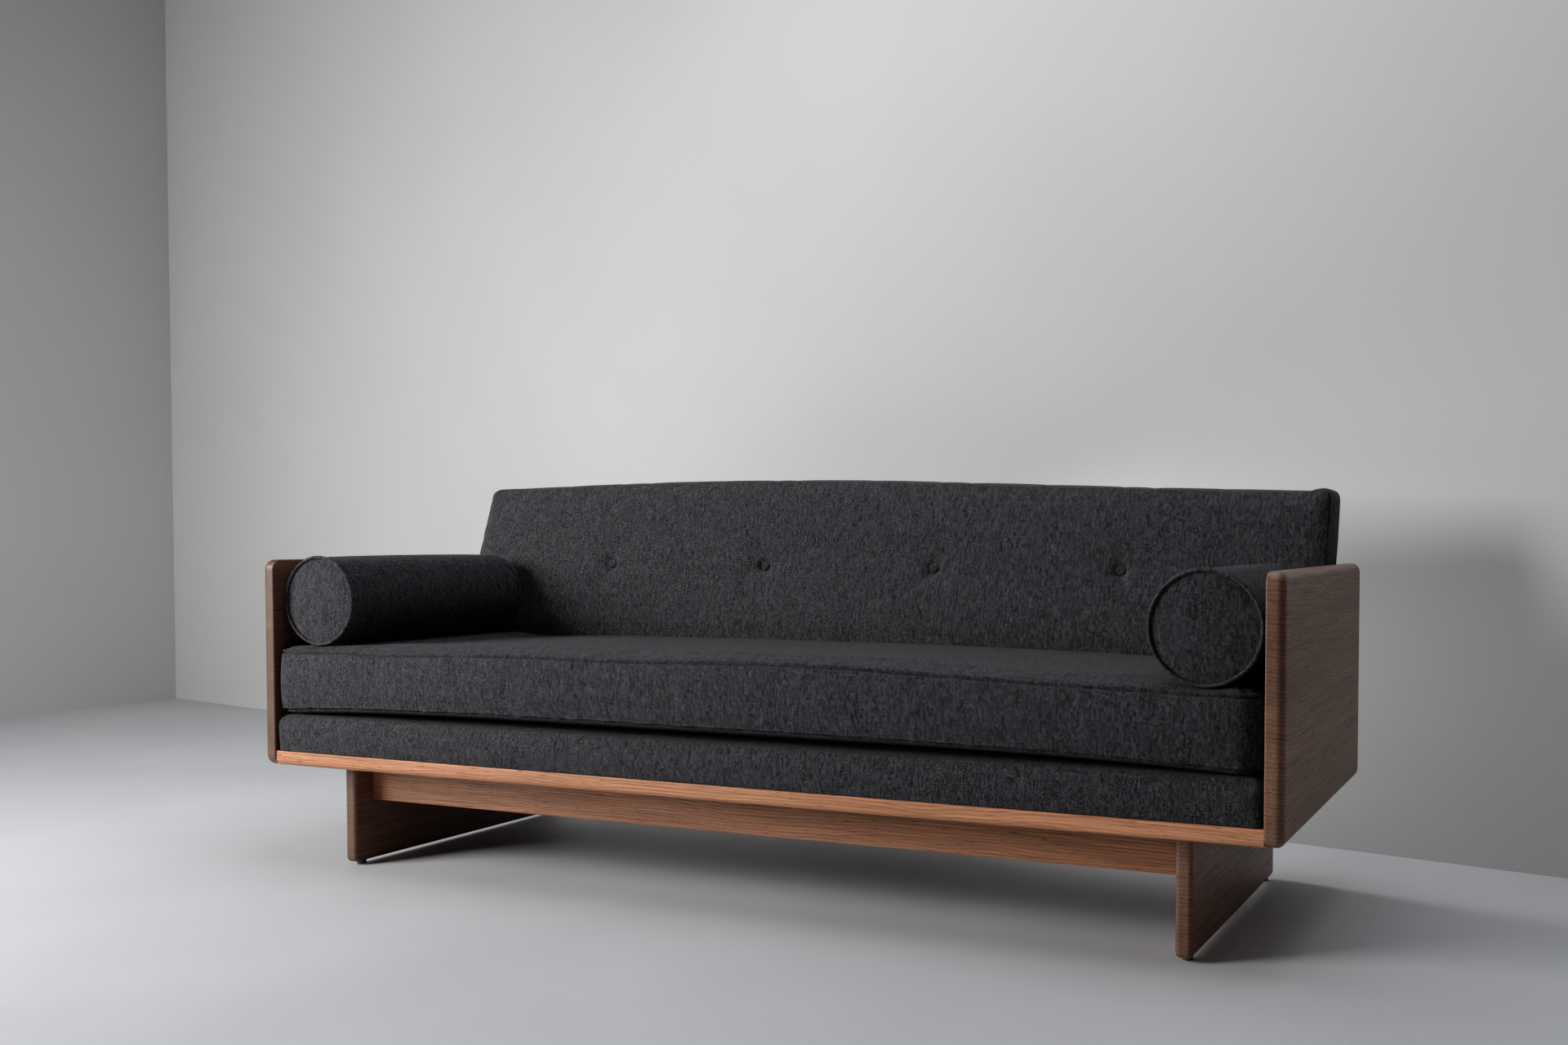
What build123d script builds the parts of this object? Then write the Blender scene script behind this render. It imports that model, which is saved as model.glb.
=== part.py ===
from build123d import *
import os
from math import atan, cos, sin

# Daybed: X runs along the seat, Y from front to back, Z up, in millimetres.
# The origin is on the floor under the middle of the whole piece.

# Outside sizes
inner_width = 2000          # between the side panels
depth = 744
base_height = 204           # floor to the underside of the panels and rails
panel_height = 414
panel_thickness = 30
panel_corner = 20
panel_outer_round = 14
panel_inner_round = 3

# Platform between the panels
rail_height = 29
rail_width = 70
rail_setback = 3
rail_nose_round = 12
edge_round = 2
cleat_width = 45
leg_bearer_width = 90
middle_bearer_width = 70
middle_bearer_x = 430

# Legs and stretchers
leg_outer = 877             # middle of the daybed to the outer face of a leg
leg_thickness = 28
leg_setback = 58
leg_corner = 10
leg_round = 8
glide_height = 7
glide_radius = 9
glide_inset = 28
glide_seat = 2              # depth of the recess in each glide for its screw head
stretcher_setback = 105
stretcher_height = 76
stretcher_thickness = 24

# Lower pad
pad_height = 73
pad_side_gap = 2
pad_setback = 1
pad_round = 14
pad_board_thickness = 12
pad_board_inset = 12
pad_turn_under = 60         # width of cover under the board, from the outside of the frame

# Seat mattress
seat_gap = 0.5              # over the lower pad
seat_end_height = 129
seat_crown = 14
seat_side_gap = 6
seat_setback = 5
seat_round = 22

# Bolsters
bolster_radius = 90
bolster_length = 476
bolster_side_gap = 4
bolster_setback = 23
bolster_lift = 0.6
bolster_round = 6

# Back, a slab with a level top and bottom that leans on a rail
recline_slope = 0.35
back_foot_y = 503           # front plane of the panels to the face of the back, at back_foot_z
back_foot_z = 440
back_thickness = 120        # measured level, front to back
back_side_gap = 6
back_end_height = 768
back_crown_height = 786
back_gap = 2
back_corner = 26
back_round = 18
back_board_thickness = 13
back_board_inset = 24

cloth = 2                   # covers with their lining
zip_width = 7
zip_reach = 22              # more than the cover's thickness, where it is cut for the zip
seat_zip_length = 1500
bolster_zip_length = 400

# Buttons along the back
button_x = (-600, -200, 200, 600)
button_z = 606
button_radius = 10
button_height = 6.5
button_round = 4
button_seat = 1.3           # the button's flat back above the bottom of its dimple
dimple_radius = 40
dimple_depth = 12
twine_radius = 1
toggle_radius = 8
toggle_thickness = 2

# Back rail and the hooks that hang the back on it
back_rail_z = 560
back_rail_height = 66
back_rail_thickness = 28
back_rail_gap = 4
hook_x = 640
hook_width = 30
hook_thickness = 3
hook_plate = 54
hook_lip = 12
hook_slack = 5
hook_over = 1
hook_screw_at = (20, 42)
hook_screw_radius = 2
hook_screw_length = 14

# Fasteners
bolt_radius = 3
bolt_head_radius = 5.5
bolt_head_height = 4
bolt_key = 4
bolt_length = 60
insert_radius = 5
insert_length = 18
leg_bolt_radius = 4
leg_bolt_head_radius = 8
leg_bolt_head_height = 5
leg_bolt_key = 5
leg_bolt_length = 42
leg_insert_radius = 6.5
leg_insert_length = 22
hexagon_sides = 6
dowel_radius = 4
dowel_depth = 20
stretcher_dowel_depth = 17
rail_dowel_radius = 5
rail_dowel_depth = 18
screw_radius = 2
screw_head_ratio = 2        # head radius over shank radius
screw_head_height = 2.5
screw_slot_width = 1
screw_slot_depth = 1
pad_screw_length = 37
centre_screw_length = 60
glide_screw_radius = 1.75
glide_screw_length = 25

# Where the fasteners stand
bolt_y = (-240, -80, 80, 240)
leg_bolt_y = (-200, 0, 200)
rail_dowel_y = (14, 38)             # from the outer face of a rail
back_rail_dowel_drop = (16, 50)     # down from the upper edge of the back rail
bearer_dowel_share = (-0.28, 0.28)  # of a bearer's width, from its middle
stretcher_dowel_z = (-19, 19)       # from the middle of a stretcher
pad_screw_y = (-160, 160)
centre_screw_x = (-17, 17)

# Derived places
half_width = inner_width / 2
front = -depth / 2
rear = depth / 2
rail_top = base_height + rail_height
rail_middle_z = base_height + rail_height / 2
rail_back = rear - rail_setback
rail_inner_y = rail_back - rail_width
panel_middle_z = base_height + panel_height / 2
leg_front = front + leg_setback
leg_depth = depth - 2 * leg_setback
leg_centre = leg_outer - leg_thickness / 2
leg_inner = leg_outer - leg_thickness
stretcher_middle_y = rear - stretcher_setback - stretcher_thickness / 2
stretcher_middle_z = base_height - stretcher_height / 2
pad_top = rail_top + pad_height
seat_bottom = pad_top + seat_gap
seat_half = half_width - seat_side_gap
seat_end_top = seat_bottom + seat_end_height
bolster_x = half_width - bolster_side_gap - bolster_radius
back_half = half_width - back_side_gap
recline = atan(recline_slope)
up_slope = Vector(0, sin(recline), cos(recline))
out_of_face = Vector(0, -cos(recline), sin(recline))
glide_y = (leg_front + glide_inset, -leg_front - glide_inset)
sides = (-1, 1)
ends = (-1, 1)


def save(piece, label):
    piece.part.label = label
    export_step(piece.part, f"parts/{label}.step")


def side_name(side):
    return "left" if side < 0 else "right"


def end_name(end):
    return "front" if end < 0 else "rear"


def seat_top(x):
    """Height of the seat's crowned top over the point x along the seat."""
    crown_radius = (seat_half**2 + seat_crown**2) / (2 * seat_crown)
    return seat_end_top + seat_crown - crown_radius + (crown_radius**2 - x**2) ** 0.5


bolster_z = seat_top(bolster_x) + bolster_radius + bolster_lift


def face_y(z):
    """Where the front of the back stands at height z."""
    return front + back_foot_y + recline_slope * (z - back_foot_z)


def rods(places, direction, radius, length):
    """Round solids that start at the places and run along the direction."""
    with BuildPart() as group:
        for place in places:
            with BuildSketch(Plane(origin=place, z_dir=direction)):
                Circle(radius)
            extrude(amount=length)
    return group.part


def socket_bolts(places, direction, radius, length, head_radius, head_height, key):
    """Socket-head bolts: the places are the undersides of their heads."""
    with BuildPart() as group:
        add(rods(places, direction, radius, length))
        for place in places:
            head = Plane(origin=place, z_dir=-Vector(*direction))
            with BuildSketch(head):
                Circle(head_radius)
            extrude(amount=head_height)
            with BuildSketch(head.offset(head_height)):
                RegularPolygon(key / 2, hexagon_sides, major_radius=False)
            extrude(amount=-head_height / 2, mode=Mode.SUBTRACT)
    return group.part


def screw_holes(places, direction, length, radius=screw_radius):
    """Countersunk holes: the places are the middles of the screws' flat heads."""
    with BuildPart() as group:
        for place in places:
            head = Plane(origin=place, z_dir=direction)
            with BuildSketch(head):
                Circle(radius * screw_head_ratio)
            with BuildSketch(head.offset(screw_head_height)):
                Circle(radius)
            loft()
            with BuildSketch(head.offset(screw_head_height)):
                Circle(radius)
            extrude(amount=length - screw_head_height)
    return group.part


def wood_screws(places, direction, length, radius=screw_radius):
    """Slotted countersunk screws that fill such holes."""
    with BuildPart() as group:
        add(screw_holes(places, direction, length, radius))
        for place in places:
            with BuildSketch(Plane(origin=place, z_dir=direction)):
                Rectangle(radius * screw_head_ratio, screw_slot_width)
            extrude(amount=screw_slot_depth, mode=Mode.SUBTRACT)
    return group.part


# Places of the fasteners, shared by the pieces that they join

def bolt_places(side):
    return [(side * (half_width - cleat_width), y, rail_middle_z) for y in bolt_y]


def insert_places(side):
    return [(side * half_width, y, rail_middle_z) for y in bolt_y]


def leg_insert_places(side):
    return [(side * leg_centre, y, base_height) for y in leg_bolt_y]


def leg_bolt_places(side):
    return [(side * leg_centre, y, rail_top - leg_bolt_head_height) for y in leg_bolt_y]


def rail_dowel_places(side):
    """Start of each dowel, inside the rail, that ties a rail to a side panel."""
    x = side * (half_width - rail_dowel_depth)
    return [(x, end * (rail_back - y), rail_middle_z) for end in ends for y in rail_dowel_y]


def bearer_dowel_places(middle_x, width, end):
    """Start of each dowel, inside one of the rails, that ties a bearer to it."""
    shifts = [middle_x + share * width for share in bearer_dowel_share]
    return [(x, end * (rail_inner_y + dowel_depth), rail_middle_z) for x in shifts]


def back_rail_dowel_places(side):
    x = side * (half_width - rail_dowel_depth)
    plane = back_rail_plane()
    level = back_rail_gap + back_rail_thickness / 2
    return [tuple(plane.from_local_coords(Vector(-drop, level, -x))) for drop in back_rail_dowel_drop]


def hook_screw_places():
    """Middles of the screw heads, flush with the rear of the hooks' plates."""
    plane = back_rail_plane()
    spots = [(side * hook_x, up) for side in sides for up in hook_screw_at]
    return [tuple(plane.from_local_coords(Vector(up, hook_thickness, -x))) for x, up in spots]


def button_plane(x, ahead):
    """Square to the face of the back at a button, some way ahead of the face."""
    middle = (x, face_y(button_z), button_z)
    return Plane(origin=middle, x_dir=(1, 0, 0), z_dir=out_of_face).offset(ahead)


def stretcher_dowel_places(side):
    x = side * (leg_inner - stretcher_dowel_depth)
    heights = [stretcher_middle_z + rise for rise in stretcher_dowel_z]
    return [(x, end * stretcher_middle_y, z) for end in ends for z in heights]


def pad_screw_places():
    x_places = (-half_width + cleat_width / 2, 0, half_width - cleat_width / 2)
    return [(x, y, base_height) for x in x_places for y in pad_screw_y]


def centre_screw_places():
    return [(x, end * stretcher_middle_y, rail_top) for end in ends for x in centre_screw_x]


def glide_places(side):
    """Middles of the screw heads in the glides under one leg."""
    return [(side * leg_centre, y, glide_seat) for y in glide_y]


bearers = {
    "left_end_cleat": (-(half_width - cleat_width / 2), cleat_width),
    "left_leg_bearer": (-leg_centre, leg_bearer_width),
    "left_bearer": (-middle_bearer_x, middle_bearer_width),
    "centre_bearer": (0, middle_bearer_width),
    "right_bearer": (middle_bearer_x, middle_bearer_width),
    "right_leg_bearer": (leg_centre, leg_bearer_width),
    "right_end_cleat": (half_width - cleat_width / 2, cleat_width),
}


def back_rail_plane():
    """Local X runs up the slope, local Y runs to the rear, from the back of the slab."""
    start = (0, face_y(back_rail_z) + back_thickness, back_rail_z)
    return Plane(origin=start, x_dir=up_slope, z_dir=(-1, 0, 0))


# Dowels and screw holes, made once: each piece that they cross is cut by them

with BuildPart() as rail_dowels:
    for side in sides:
        add(rods(rail_dowel_places(side), (side, 0, 0), rail_dowel_radius, 2 * rail_dowel_depth))
save(rail_dowels, "rail_dowels")

with BuildPart() as back_rail_dowels:
    for side in sides:
        add(rods(back_rail_dowel_places(side), (side, 0, 0), rail_dowel_radius, 2 * rail_dowel_depth))
save(back_rail_dowels, "back_rail_dowels")

with BuildPart() as bearer_dowels:
    for middle_x, width in bearers.values():
        for end in ends:
            starts = bearer_dowel_places(middle_x, width, end)
            add(rods(starts, (0, -end, 0), dowel_radius, 2 * dowel_depth))
save(bearer_dowels, "bearer_dowels")

with BuildPart() as stretcher_dowels:
    for side in sides:
        add(rods(stretcher_dowel_places(side), (side, 0, 0), dowel_radius, 2 * stretcher_dowel_depth))
save(stretcher_dowels, "stretcher_dowels")

pad_screw_holes = screw_holes(pad_screw_places(), (0, 0, 1), pad_screw_length)
centre_screw_holes = screw_holes(centre_screw_places(), (0, 0, -1), centre_screw_length)
glide_screw_holes = screw_holes(
    glide_places(-1) + glide_places(1), (0, 0, 1), glide_screw_length, glide_screw_radius
)

# Side panels: the large round runs all round the outer face
for side in sides:
    with BuildPart() as side_panel:
        with BuildSketch(Plane.YZ.offset(side * half_width)):
            with Locations((0, panel_middle_z)):
                RectangleRounded(depth, panel_height, panel_corner)
        extrude(amount=side * panel_thickness)
        outwards = Axis((0, 0, 0), (side, 0, 0))
        fillet(side_panel.faces().sort_by(outwards)[-1].edges(), panel_outer_round)
        fillet(side_panel.faces().sort_by(outwards)[0].edges(), panel_inner_round)
        add(rods(insert_places(side), (side, 0, 0), insert_radius, insert_length), mode=Mode.SUBTRACT)
        add(rail_dowels.part, mode=Mode.SUBTRACT)
        add(back_rail_dowels.part, mode=Mode.SUBTRACT)
    save(side_panel, f"{side_name(side)}_side_panel")

# Front and rear rails, laid flat between the panels
for end in ends:
    with BuildPart() as rail:
        with BuildSketch(Plane.YZ.offset(-half_width)):
            with Locations((end * (rail_back - rail_width / 2), rail_middle_z)):
                Rectangle(rail_width, rail_height)
        extrude(amount=inner_width)
        outwards = Axis((0, 0, 0), (0, end, 0))
        outer_face = rail.faces().sort_by(outwards)[-1]
        fillet(outer_face.edges().filter_by(Axis.X).sort_by(Axis.Z)[0], rail_nose_round)
        outer_face = rail.faces().filter_by(Axis.Y).sort_by(outwards)[-1]
        fillet(outer_face.edges().filter_by(Axis.X).sort_by(Axis.Z)[-1], edge_round)
        add(rail_dowels.part, mode=Mode.SUBTRACT)
        add(bearer_dowels.part, mode=Mode.SUBTRACT)
    save(rail, f"{end_name(end)}_rail")

# End cleats and bearers, from rail to rail
for name, (middle_x, width) in bearers.items():
    with BuildPart() as bearer:
        with BuildSketch(Plane.XY.offset(base_height)):
            with Locations((middle_x, 0)):
                Rectangle(width, 2 * rail_inner_y)
        extrude(amount=rail_height)
        for side in sides:
            add(rods(bolt_places(side), (side, 0, 0), bolt_radius, cleat_width), mode=Mode.SUBTRACT)
            add(rods(leg_bolt_places(side), (0, 0, 1), leg_bolt_head_radius, leg_bolt_head_height),
                mode=Mode.SUBTRACT)
            add(rods(leg_bolt_places(side), (0, 0, -1), leg_bolt_radius, rail_height),
                mode=Mode.SUBTRACT)
        add(bearer_dowels.part, mode=Mode.SUBTRACT)
        add(pad_screw_holes, mode=Mode.SUBTRACT)
        add(centre_screw_holes, mode=Mode.SUBTRACT)
    save(bearer, name)

# Slab legs
for side in sides:
    with BuildPart() as leg:
        with BuildSketch(Plane.YZ.offset(side * leg_inner)):
            with Locations((0, (base_height + glide_height) / 2)):
                RectangleRounded(leg_depth, base_height - glide_height, leg_corner)
        extrude(amount=side * leg_thickness)
        for face in leg.faces().filter_by(Axis.X):
            fillet(face.edges(), leg_round)
        add(rods(leg_insert_places(side), (0, 0, -1), leg_insert_radius, leg_insert_length),
            mode=Mode.SUBTRACT)
        add(stretcher_dowels.part, mode=Mode.SUBTRACT)
        add(glide_screw_holes, mode=Mode.SUBTRACT)
    save(leg, f"{side_name(side)}_leg")

# Stretchers between the legs
for end in ends:
    with BuildPart() as stretcher:
        with BuildSketch(Plane.YZ.offset(-leg_inner)):
            with Locations((end * stretcher_middle_y, stretcher_middle_z)):
                Rectangle(stretcher_thickness, stretcher_height)
        extrude(amount=2 * leg_inner)
        fillet(stretcher.edges().filter_by(Axis.X).group_by(Axis.Z)[0], edge_round)
        add(stretcher_dowels.part, mode=Mode.SUBTRACT)
        add(centre_screw_holes, mode=Mode.SUBTRACT)
    save(stretcher, f"{end_name(end)}_stretcher")

# Back rail, tilted to the slope of the back
with BuildPart() as back_rail:
    with BuildSketch(back_rail_plane().offset(-half_width)):
        with Locations((-back_rail_height / 2, back_rail_gap + back_rail_thickness / 2)):
            Rectangle(back_rail_height, back_rail_thickness)
    extrude(amount=inner_width)
    fillet(back_rail.edges().filter_by(Axis.X), edge_round)
    add(back_rail_dowels.part, mode=Mode.SUBTRACT)
save(back_rail, "back_rail")

# Glides under the legs
for side in sides:
    for end, (x, y, z) in zip(ends, glide_places(side)):
        with BuildPart() as glide:
            with BuildSketch():
                with Locations((x, y)):
                    Circle(glide_radius)
            extrude(amount=glide_height)
            fillet(glide.edges().group_by(Axis.Z)[0], edge_round / 2)
            with BuildSketch():
                with Locations((x, y)):
                    Circle(glide_screw_radius * screw_head_ratio)
            extrude(amount=glide_seat, mode=Mode.SUBTRACT)
            add(glide_screw_holes, mode=Mode.SUBTRACT)
        save(glide, f"{end_name(end)}_{side_name(side)}_glide")

# Threaded inserts, bolts and screws of the frame
with BuildPart() as cleat_inserts:
    for side in sides:
        add(rods(insert_places(side), (side, 0, 0), insert_radius, insert_length))
        add(rods(insert_places(side), (side, 0, 0), bolt_radius, bolt_length - cleat_width),
            mode=Mode.SUBTRACT)
save(cleat_inserts, "cleat_inserts")

with BuildPart() as cleat_bolts:
    for side in sides:
        add(socket_bolts(bolt_places(side), (side, 0, 0), bolt_radius, bolt_length,
                         bolt_head_radius, bolt_head_height, bolt_key))
save(cleat_bolts, "cleat_bolts")

with BuildPart() as leg_inserts:
    for side in sides:
        add(rods(leg_insert_places(side), (0, 0, -1), leg_insert_radius, leg_insert_length))
        add(rods(leg_bolt_places(side), (0, 0, -1), leg_bolt_radius, leg_bolt_length),
            mode=Mode.SUBTRACT)
save(leg_inserts, "leg_inserts")

with BuildPart() as leg_bolts:
    for side in sides:
        add(socket_bolts(leg_bolt_places(side), (0, 0, -1), leg_bolt_radius, leg_bolt_length,
                         leg_bolt_head_radius, leg_bolt_head_height, leg_bolt_key))
save(leg_bolts, "leg_bolts")

with BuildPart() as pad_screws:
    add(wood_screws(pad_screw_places(), (0, 0, 1), pad_screw_length))
save(pad_screws, "pad_screws")

with BuildPart() as centre_screws:
    add(wood_screws(centre_screw_places(), (0, 0, -1), centre_screw_length))
save(centre_screws, "centre_screws")

with BuildPart() as glide_screws:
    for side in sides:
        add(wood_screws(glide_places(side), (0, 0, 1), glide_screw_length, glide_screw_radius))
save(glide_screws, "glide_screws")


# Lower pad: a board, foam over and round it, and a cover pulled under the board's edge

def pad_block(inset):
    with BuildPart() as block:
        with BuildSketch(Plane.XY.offset(rail_top + inset)):
            Rectangle(2 * (half_width - pad_side_gap - inset), depth - 2 * (pad_setback + inset))
        extrude(amount=pad_height - 2 * inset)
        fillet(block.edges().filter_by(Axis.Z), pad_round - inset)
        fillet(block.faces().sort_by(Axis.Z)[-1].edges(), pad_round - inset)
    return block.part


pad_inside = pad_block(cloth)

with BuildPart() as pad_board_blank:
    with BuildSketch(Plane.XY.offset(rail_top + cloth)):
        board_half = half_width - pad_side_gap - pad_board_inset
        Rectangle(2 * board_half, depth - 2 * (pad_setback + pad_board_inset))
    extrude(amount=pad_board_thickness)

with BuildPart() as pad_board:
    add(pad_board_blank.part)
    add(pad_screw_holes, mode=Mode.SUBTRACT)
save(pad_board, "pad_board")

with BuildPart() as pad_foam:
    add(pad_inside)
    add(pad_board_blank.part, mode=Mode.SUBTRACT)
save(pad_foam, "pad_foam")

with BuildPart() as pad_cover:
    add(pad_block(0))
    add(pad_inside, mode=Mode.SUBTRACT)
    with BuildSketch(Plane.XY.offset(rail_top)):
        Rectangle(2 * (half_width - pad_turn_under), depth - 2 * pad_turn_under)
    extrude(amount=cloth, mode=Mode.SUBTRACT)
    add(pad_screw_holes, mode=Mode.SUBTRACT)
save(pad_cover, "pad_cover")


# Seat mattress: a foam core in a zipped cover

def seat_block(inset):
    with BuildPart() as block:
        with BuildSketch(Plane.XZ.offset(-front - seat_setback - inset)):
            with BuildLine():
                half = seat_half - inset
                low = seat_bottom + inset
                high = seat_top(seat_half) - inset
                Polyline((-half, high), (-half, low), (half, low), (half, high))
                ThreePointArc((half, high), (0, seat_top(0) - inset), (-half, high))
            make_face()
        extrude(amount=-(depth - 2 * (seat_setback + inset)))
        fillet(block.edges(), seat_round - inset)
    return block.part


def cover_and_zip(outside, inside, zip_box, name):
    """Saves a cover that is closed by a zip along zip_box."""
    with BuildPart() as cover:
        add(outside)
        add(inside, mode=Mode.SUBTRACT)
        add(zip_box, mode=Mode.SUBTRACT)
    save(cover, f"{name}_cover")
    with BuildPart() as zip_strip:
        add(outside)
        add(inside, mode=Mode.SUBTRACT)
        add(zip_box, mode=Mode.INTERSECT)
    save(zip_strip, f"{name}_zip")


def bar(middle, size):
    with BuildPart() as block:
        with Locations(middle):
            Box(*size)
    return block.part


seat_inside = seat_block(cloth)
with BuildPart() as seat_core:
    add(seat_inside)
save(seat_core, "seat_core")
seat_zip_middle = (0, rear - seat_setback, (seat_bottom + seat_end_top) / 2)
seat_zip_box = bar(seat_zip_middle, (seat_zip_length, 2 * zip_reach, zip_width))
cover_and_zip(seat_block(0), seat_inside, seat_zip_box, "seat")


# Bolsters: round foam cores in zipped covers, with the zips towards the side panels

def bolster_block(side, inset):
    with BuildPart() as block:
        with BuildSketch(Plane.XZ.offset(-front - bolster_setback - inset)):
            with Locations((side * bolster_x, bolster_z)):
                Circle(bolster_radius - inset)
        extrude(amount=-(bolster_length - 2 * inset))
        fillet(block.edges().filter_by(GeomType.CIRCLE), bolster_round - inset)
    return block.part


for side in sides:
    name = f"{side_name(side)}_bolster"
    bolster_inside = bolster_block(side, cloth)
    with BuildPart() as bolster_core:
        add(bolster_inside)
    save(bolster_core, f"{name}_core")
    bolster_middle_y = front + bolster_setback + bolster_length / 2
    bolster_zip_middle = (side * (bolster_x + bolster_radius), bolster_middle_y, bolster_z)
    zip_box = bar(bolster_zip_middle, (2 * zip_reach, bolster_zip_length, zip_width))
    cover_and_zip(bolster_block(side, 0), bolster_inside, zip_box, name)


# Back: a board at the rear, foam in front of it, a cover over both, and four buttons

def back_slice(inset, from_face, to_face):
    """The back's outline, drawn in by inset, between two level distances behind its face."""
    bottom, top = seat_bottom, back_crown_height + back_round
    with BuildPart() as block:
        with BuildSketch(Plane.XZ):
            with BuildLine():
                low = seat_top(back_half) + back_gap
                Line((-back_half, back_end_height), (-back_half, low))
                ThreePointArc((-back_half, low), (0, seat_top(0) + back_gap), (back_half, low))
                Line((back_half, low), (back_half, back_end_height))
                ThreePointArc((back_half, back_end_height), (0, back_crown_height),
                              (-back_half, back_end_height))
            outline = make_face()
            fillet(outline.vertices(), back_corner)
            offset(amount=-inset, mode=Mode.REPLACE)
        extrude(amount=depth, both=True)
        with BuildSketch(Plane.YZ):
            with BuildLine():
                Polyline(
                    (face_y(bottom) + from_face, bottom), (face_y(bottom) + to_face, bottom),
                    (face_y(top) + to_face, top), (face_y(top) + from_face, top), close=True,
                )
            make_face()
        extrude(amount=inner_width, both=True, mode=Mode.INTERSECT)
    return block.part


def rounded_back(inset):
    with BuildPart() as block:
        add(back_slice(inset, inset, back_thickness - inset))
        flat_faces = block.faces().filter_by(Axis((0, 0, 0), out_of_face))
        fillet(flat_faces.edges(), back_round - inset)
        with Locations(*[button_plane(x, dimple_radius - dimple_depth) for x in button_x]):
            Sphere(dimple_radius + inset, mode=Mode.SUBTRACT)
    return block.part


def discs(from_depth, to_depth, radius):
    """Round solids behind each button, between two depths square to the face."""
    with BuildPart() as group:
        for x in button_x:
            with BuildSketch(button_plane(x, -to_depth)):
                Circle(radius)
            extrude(amount=to_depth - from_depth)
    return group.part


back_inside = rounded_back(cloth)
board_front = back_thickness - cloth - back_board_thickness
board_back = (back_thickness - cloth) * cos(recline)
board_blank = back_slice(back_board_inset, board_front, back_thickness - cloth)
button_back = dimple_depth - button_seat
twine_holes = discs(button_back, board_back, twine_radius)
toggle_recesses = discs(board_back - toggle_thickness, board_back, toggle_radius)
hook_screw_holes = screw_holes(
    hook_screw_places(), tuple(-back_rail_plane().y_dir), hook_screw_length, hook_screw_radius
)

with BuildPart() as back_board:
    add(board_blank)
    add(twine_holes, mode=Mode.SUBTRACT)
    add(toggle_recesses, mode=Mode.SUBTRACT)
    add(hook_screw_holes, mode=Mode.SUBTRACT)
save(back_board, "back_board")

with BuildPart() as back_foam:
    add(back_inside)
    add(board_blank, mode=Mode.SUBTRACT)
    add(twine_holes, mode=Mode.SUBTRACT)
save(back_foam, "back_foam")

with BuildPart() as back_cover:
    add(rounded_back(0))
    add(back_inside, mode=Mode.SUBTRACT)
    add(twine_holes, mode=Mode.SUBTRACT)
    add(hook_screw_holes, mode=Mode.SUBTRACT)
save(back_cover, "back_cover")

for count, x in enumerate(button_x, start=1):
    with BuildPart() as back_button:
        with BuildSketch(button_plane(x, -button_back)):
            Circle(button_radius)
        extrude(amount=button_height)
        fillet(back_button.faces().sort_by(Axis((0, 0, 0), out_of_face))[-1].edges(), button_round)
    save(back_button, f"back_button_{count}")

with BuildPart() as button_twine:
    add(discs(button_back, board_back - toggle_thickness, twine_radius))
save(button_twine, "button_twine")

with BuildPart() as button_toggles:
    add(toggle_recesses)
save(button_toggles, "button_toggles")


# Steel hooks: a plate on the rear of the back, a bridge over the back rail and a short lip

for side in sides:
    with BuildPart() as back_hook:
        with BuildSketch(back_rail_plane().offset(-side * hook_x - hook_width / 2)):
            with BuildLine():
                bridge = hook_over + hook_thickness
                lip_inner = back_rail_gap + back_rail_thickness + hook_slack
                lip_outer = lip_inner + hook_thickness
                Polyline(
                    (hook_over, 0), (hook_plate, 0), (hook_plate, hook_thickness),
                    (bridge, hook_thickness), (bridge, lip_outer), (bridge - hook_lip, lip_outer),
                    (bridge - hook_lip, lip_inner), (hook_over, lip_inner), close=True,
                )
            make_face()
        extrude(amount=hook_width)
        add(hook_screw_holes, mode=Mode.SUBTRACT)
    save(back_hook, f"{side_name(side)}_back_hook")

with BuildPart() as hook_screws:
    add(wood_screws(hook_screw_places(), tuple(-back_rail_plane().y_dir), hook_screw_length,
                    hook_screw_radius))
save(hook_screws, "hook_screws")
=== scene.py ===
import math
import random

import bpy
import numpy as np
from mathutils import Matrix, Vector
from mathutils.bvhtree import BVHTree


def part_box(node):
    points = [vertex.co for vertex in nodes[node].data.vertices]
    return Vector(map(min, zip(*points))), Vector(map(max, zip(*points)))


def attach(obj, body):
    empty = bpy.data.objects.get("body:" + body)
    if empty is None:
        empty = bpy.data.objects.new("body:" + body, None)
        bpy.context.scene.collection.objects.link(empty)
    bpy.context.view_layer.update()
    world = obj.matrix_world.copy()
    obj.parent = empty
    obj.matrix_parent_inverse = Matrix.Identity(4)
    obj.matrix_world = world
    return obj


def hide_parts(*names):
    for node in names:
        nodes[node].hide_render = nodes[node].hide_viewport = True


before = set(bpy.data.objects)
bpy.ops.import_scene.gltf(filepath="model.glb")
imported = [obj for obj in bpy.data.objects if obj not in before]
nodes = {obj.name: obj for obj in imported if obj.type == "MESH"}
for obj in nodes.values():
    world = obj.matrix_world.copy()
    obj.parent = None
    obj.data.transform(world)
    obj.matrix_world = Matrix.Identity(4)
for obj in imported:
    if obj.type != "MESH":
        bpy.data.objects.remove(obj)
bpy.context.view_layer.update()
scene = bpy.context.scene
print("frame loaded:", len(nodes), "timber, fabric and metal nodes")


# small helpers for meshes

def side(name):
    return -1 if name == "left" else 1


def smooth(value, start, end):
    t = np.clip((value - start) / (end - start), 0, 1)
    return t * t * (3 - 2 * t)


def spread(low, high, fine, coarse, band):
    # grid lines that lie close together near both ends
    steps = max(1, round(band / fine))
    ends = np.linspace(0, band, steps + 1)
    middle = np.linspace(low + band, high - band, max(2, round((high - low - 2 * band) / coarse) + 1))
    return np.concatenate([low + ends[:-1], middle, high - ends[:-1][::-1]])


waveCount = 9


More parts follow.
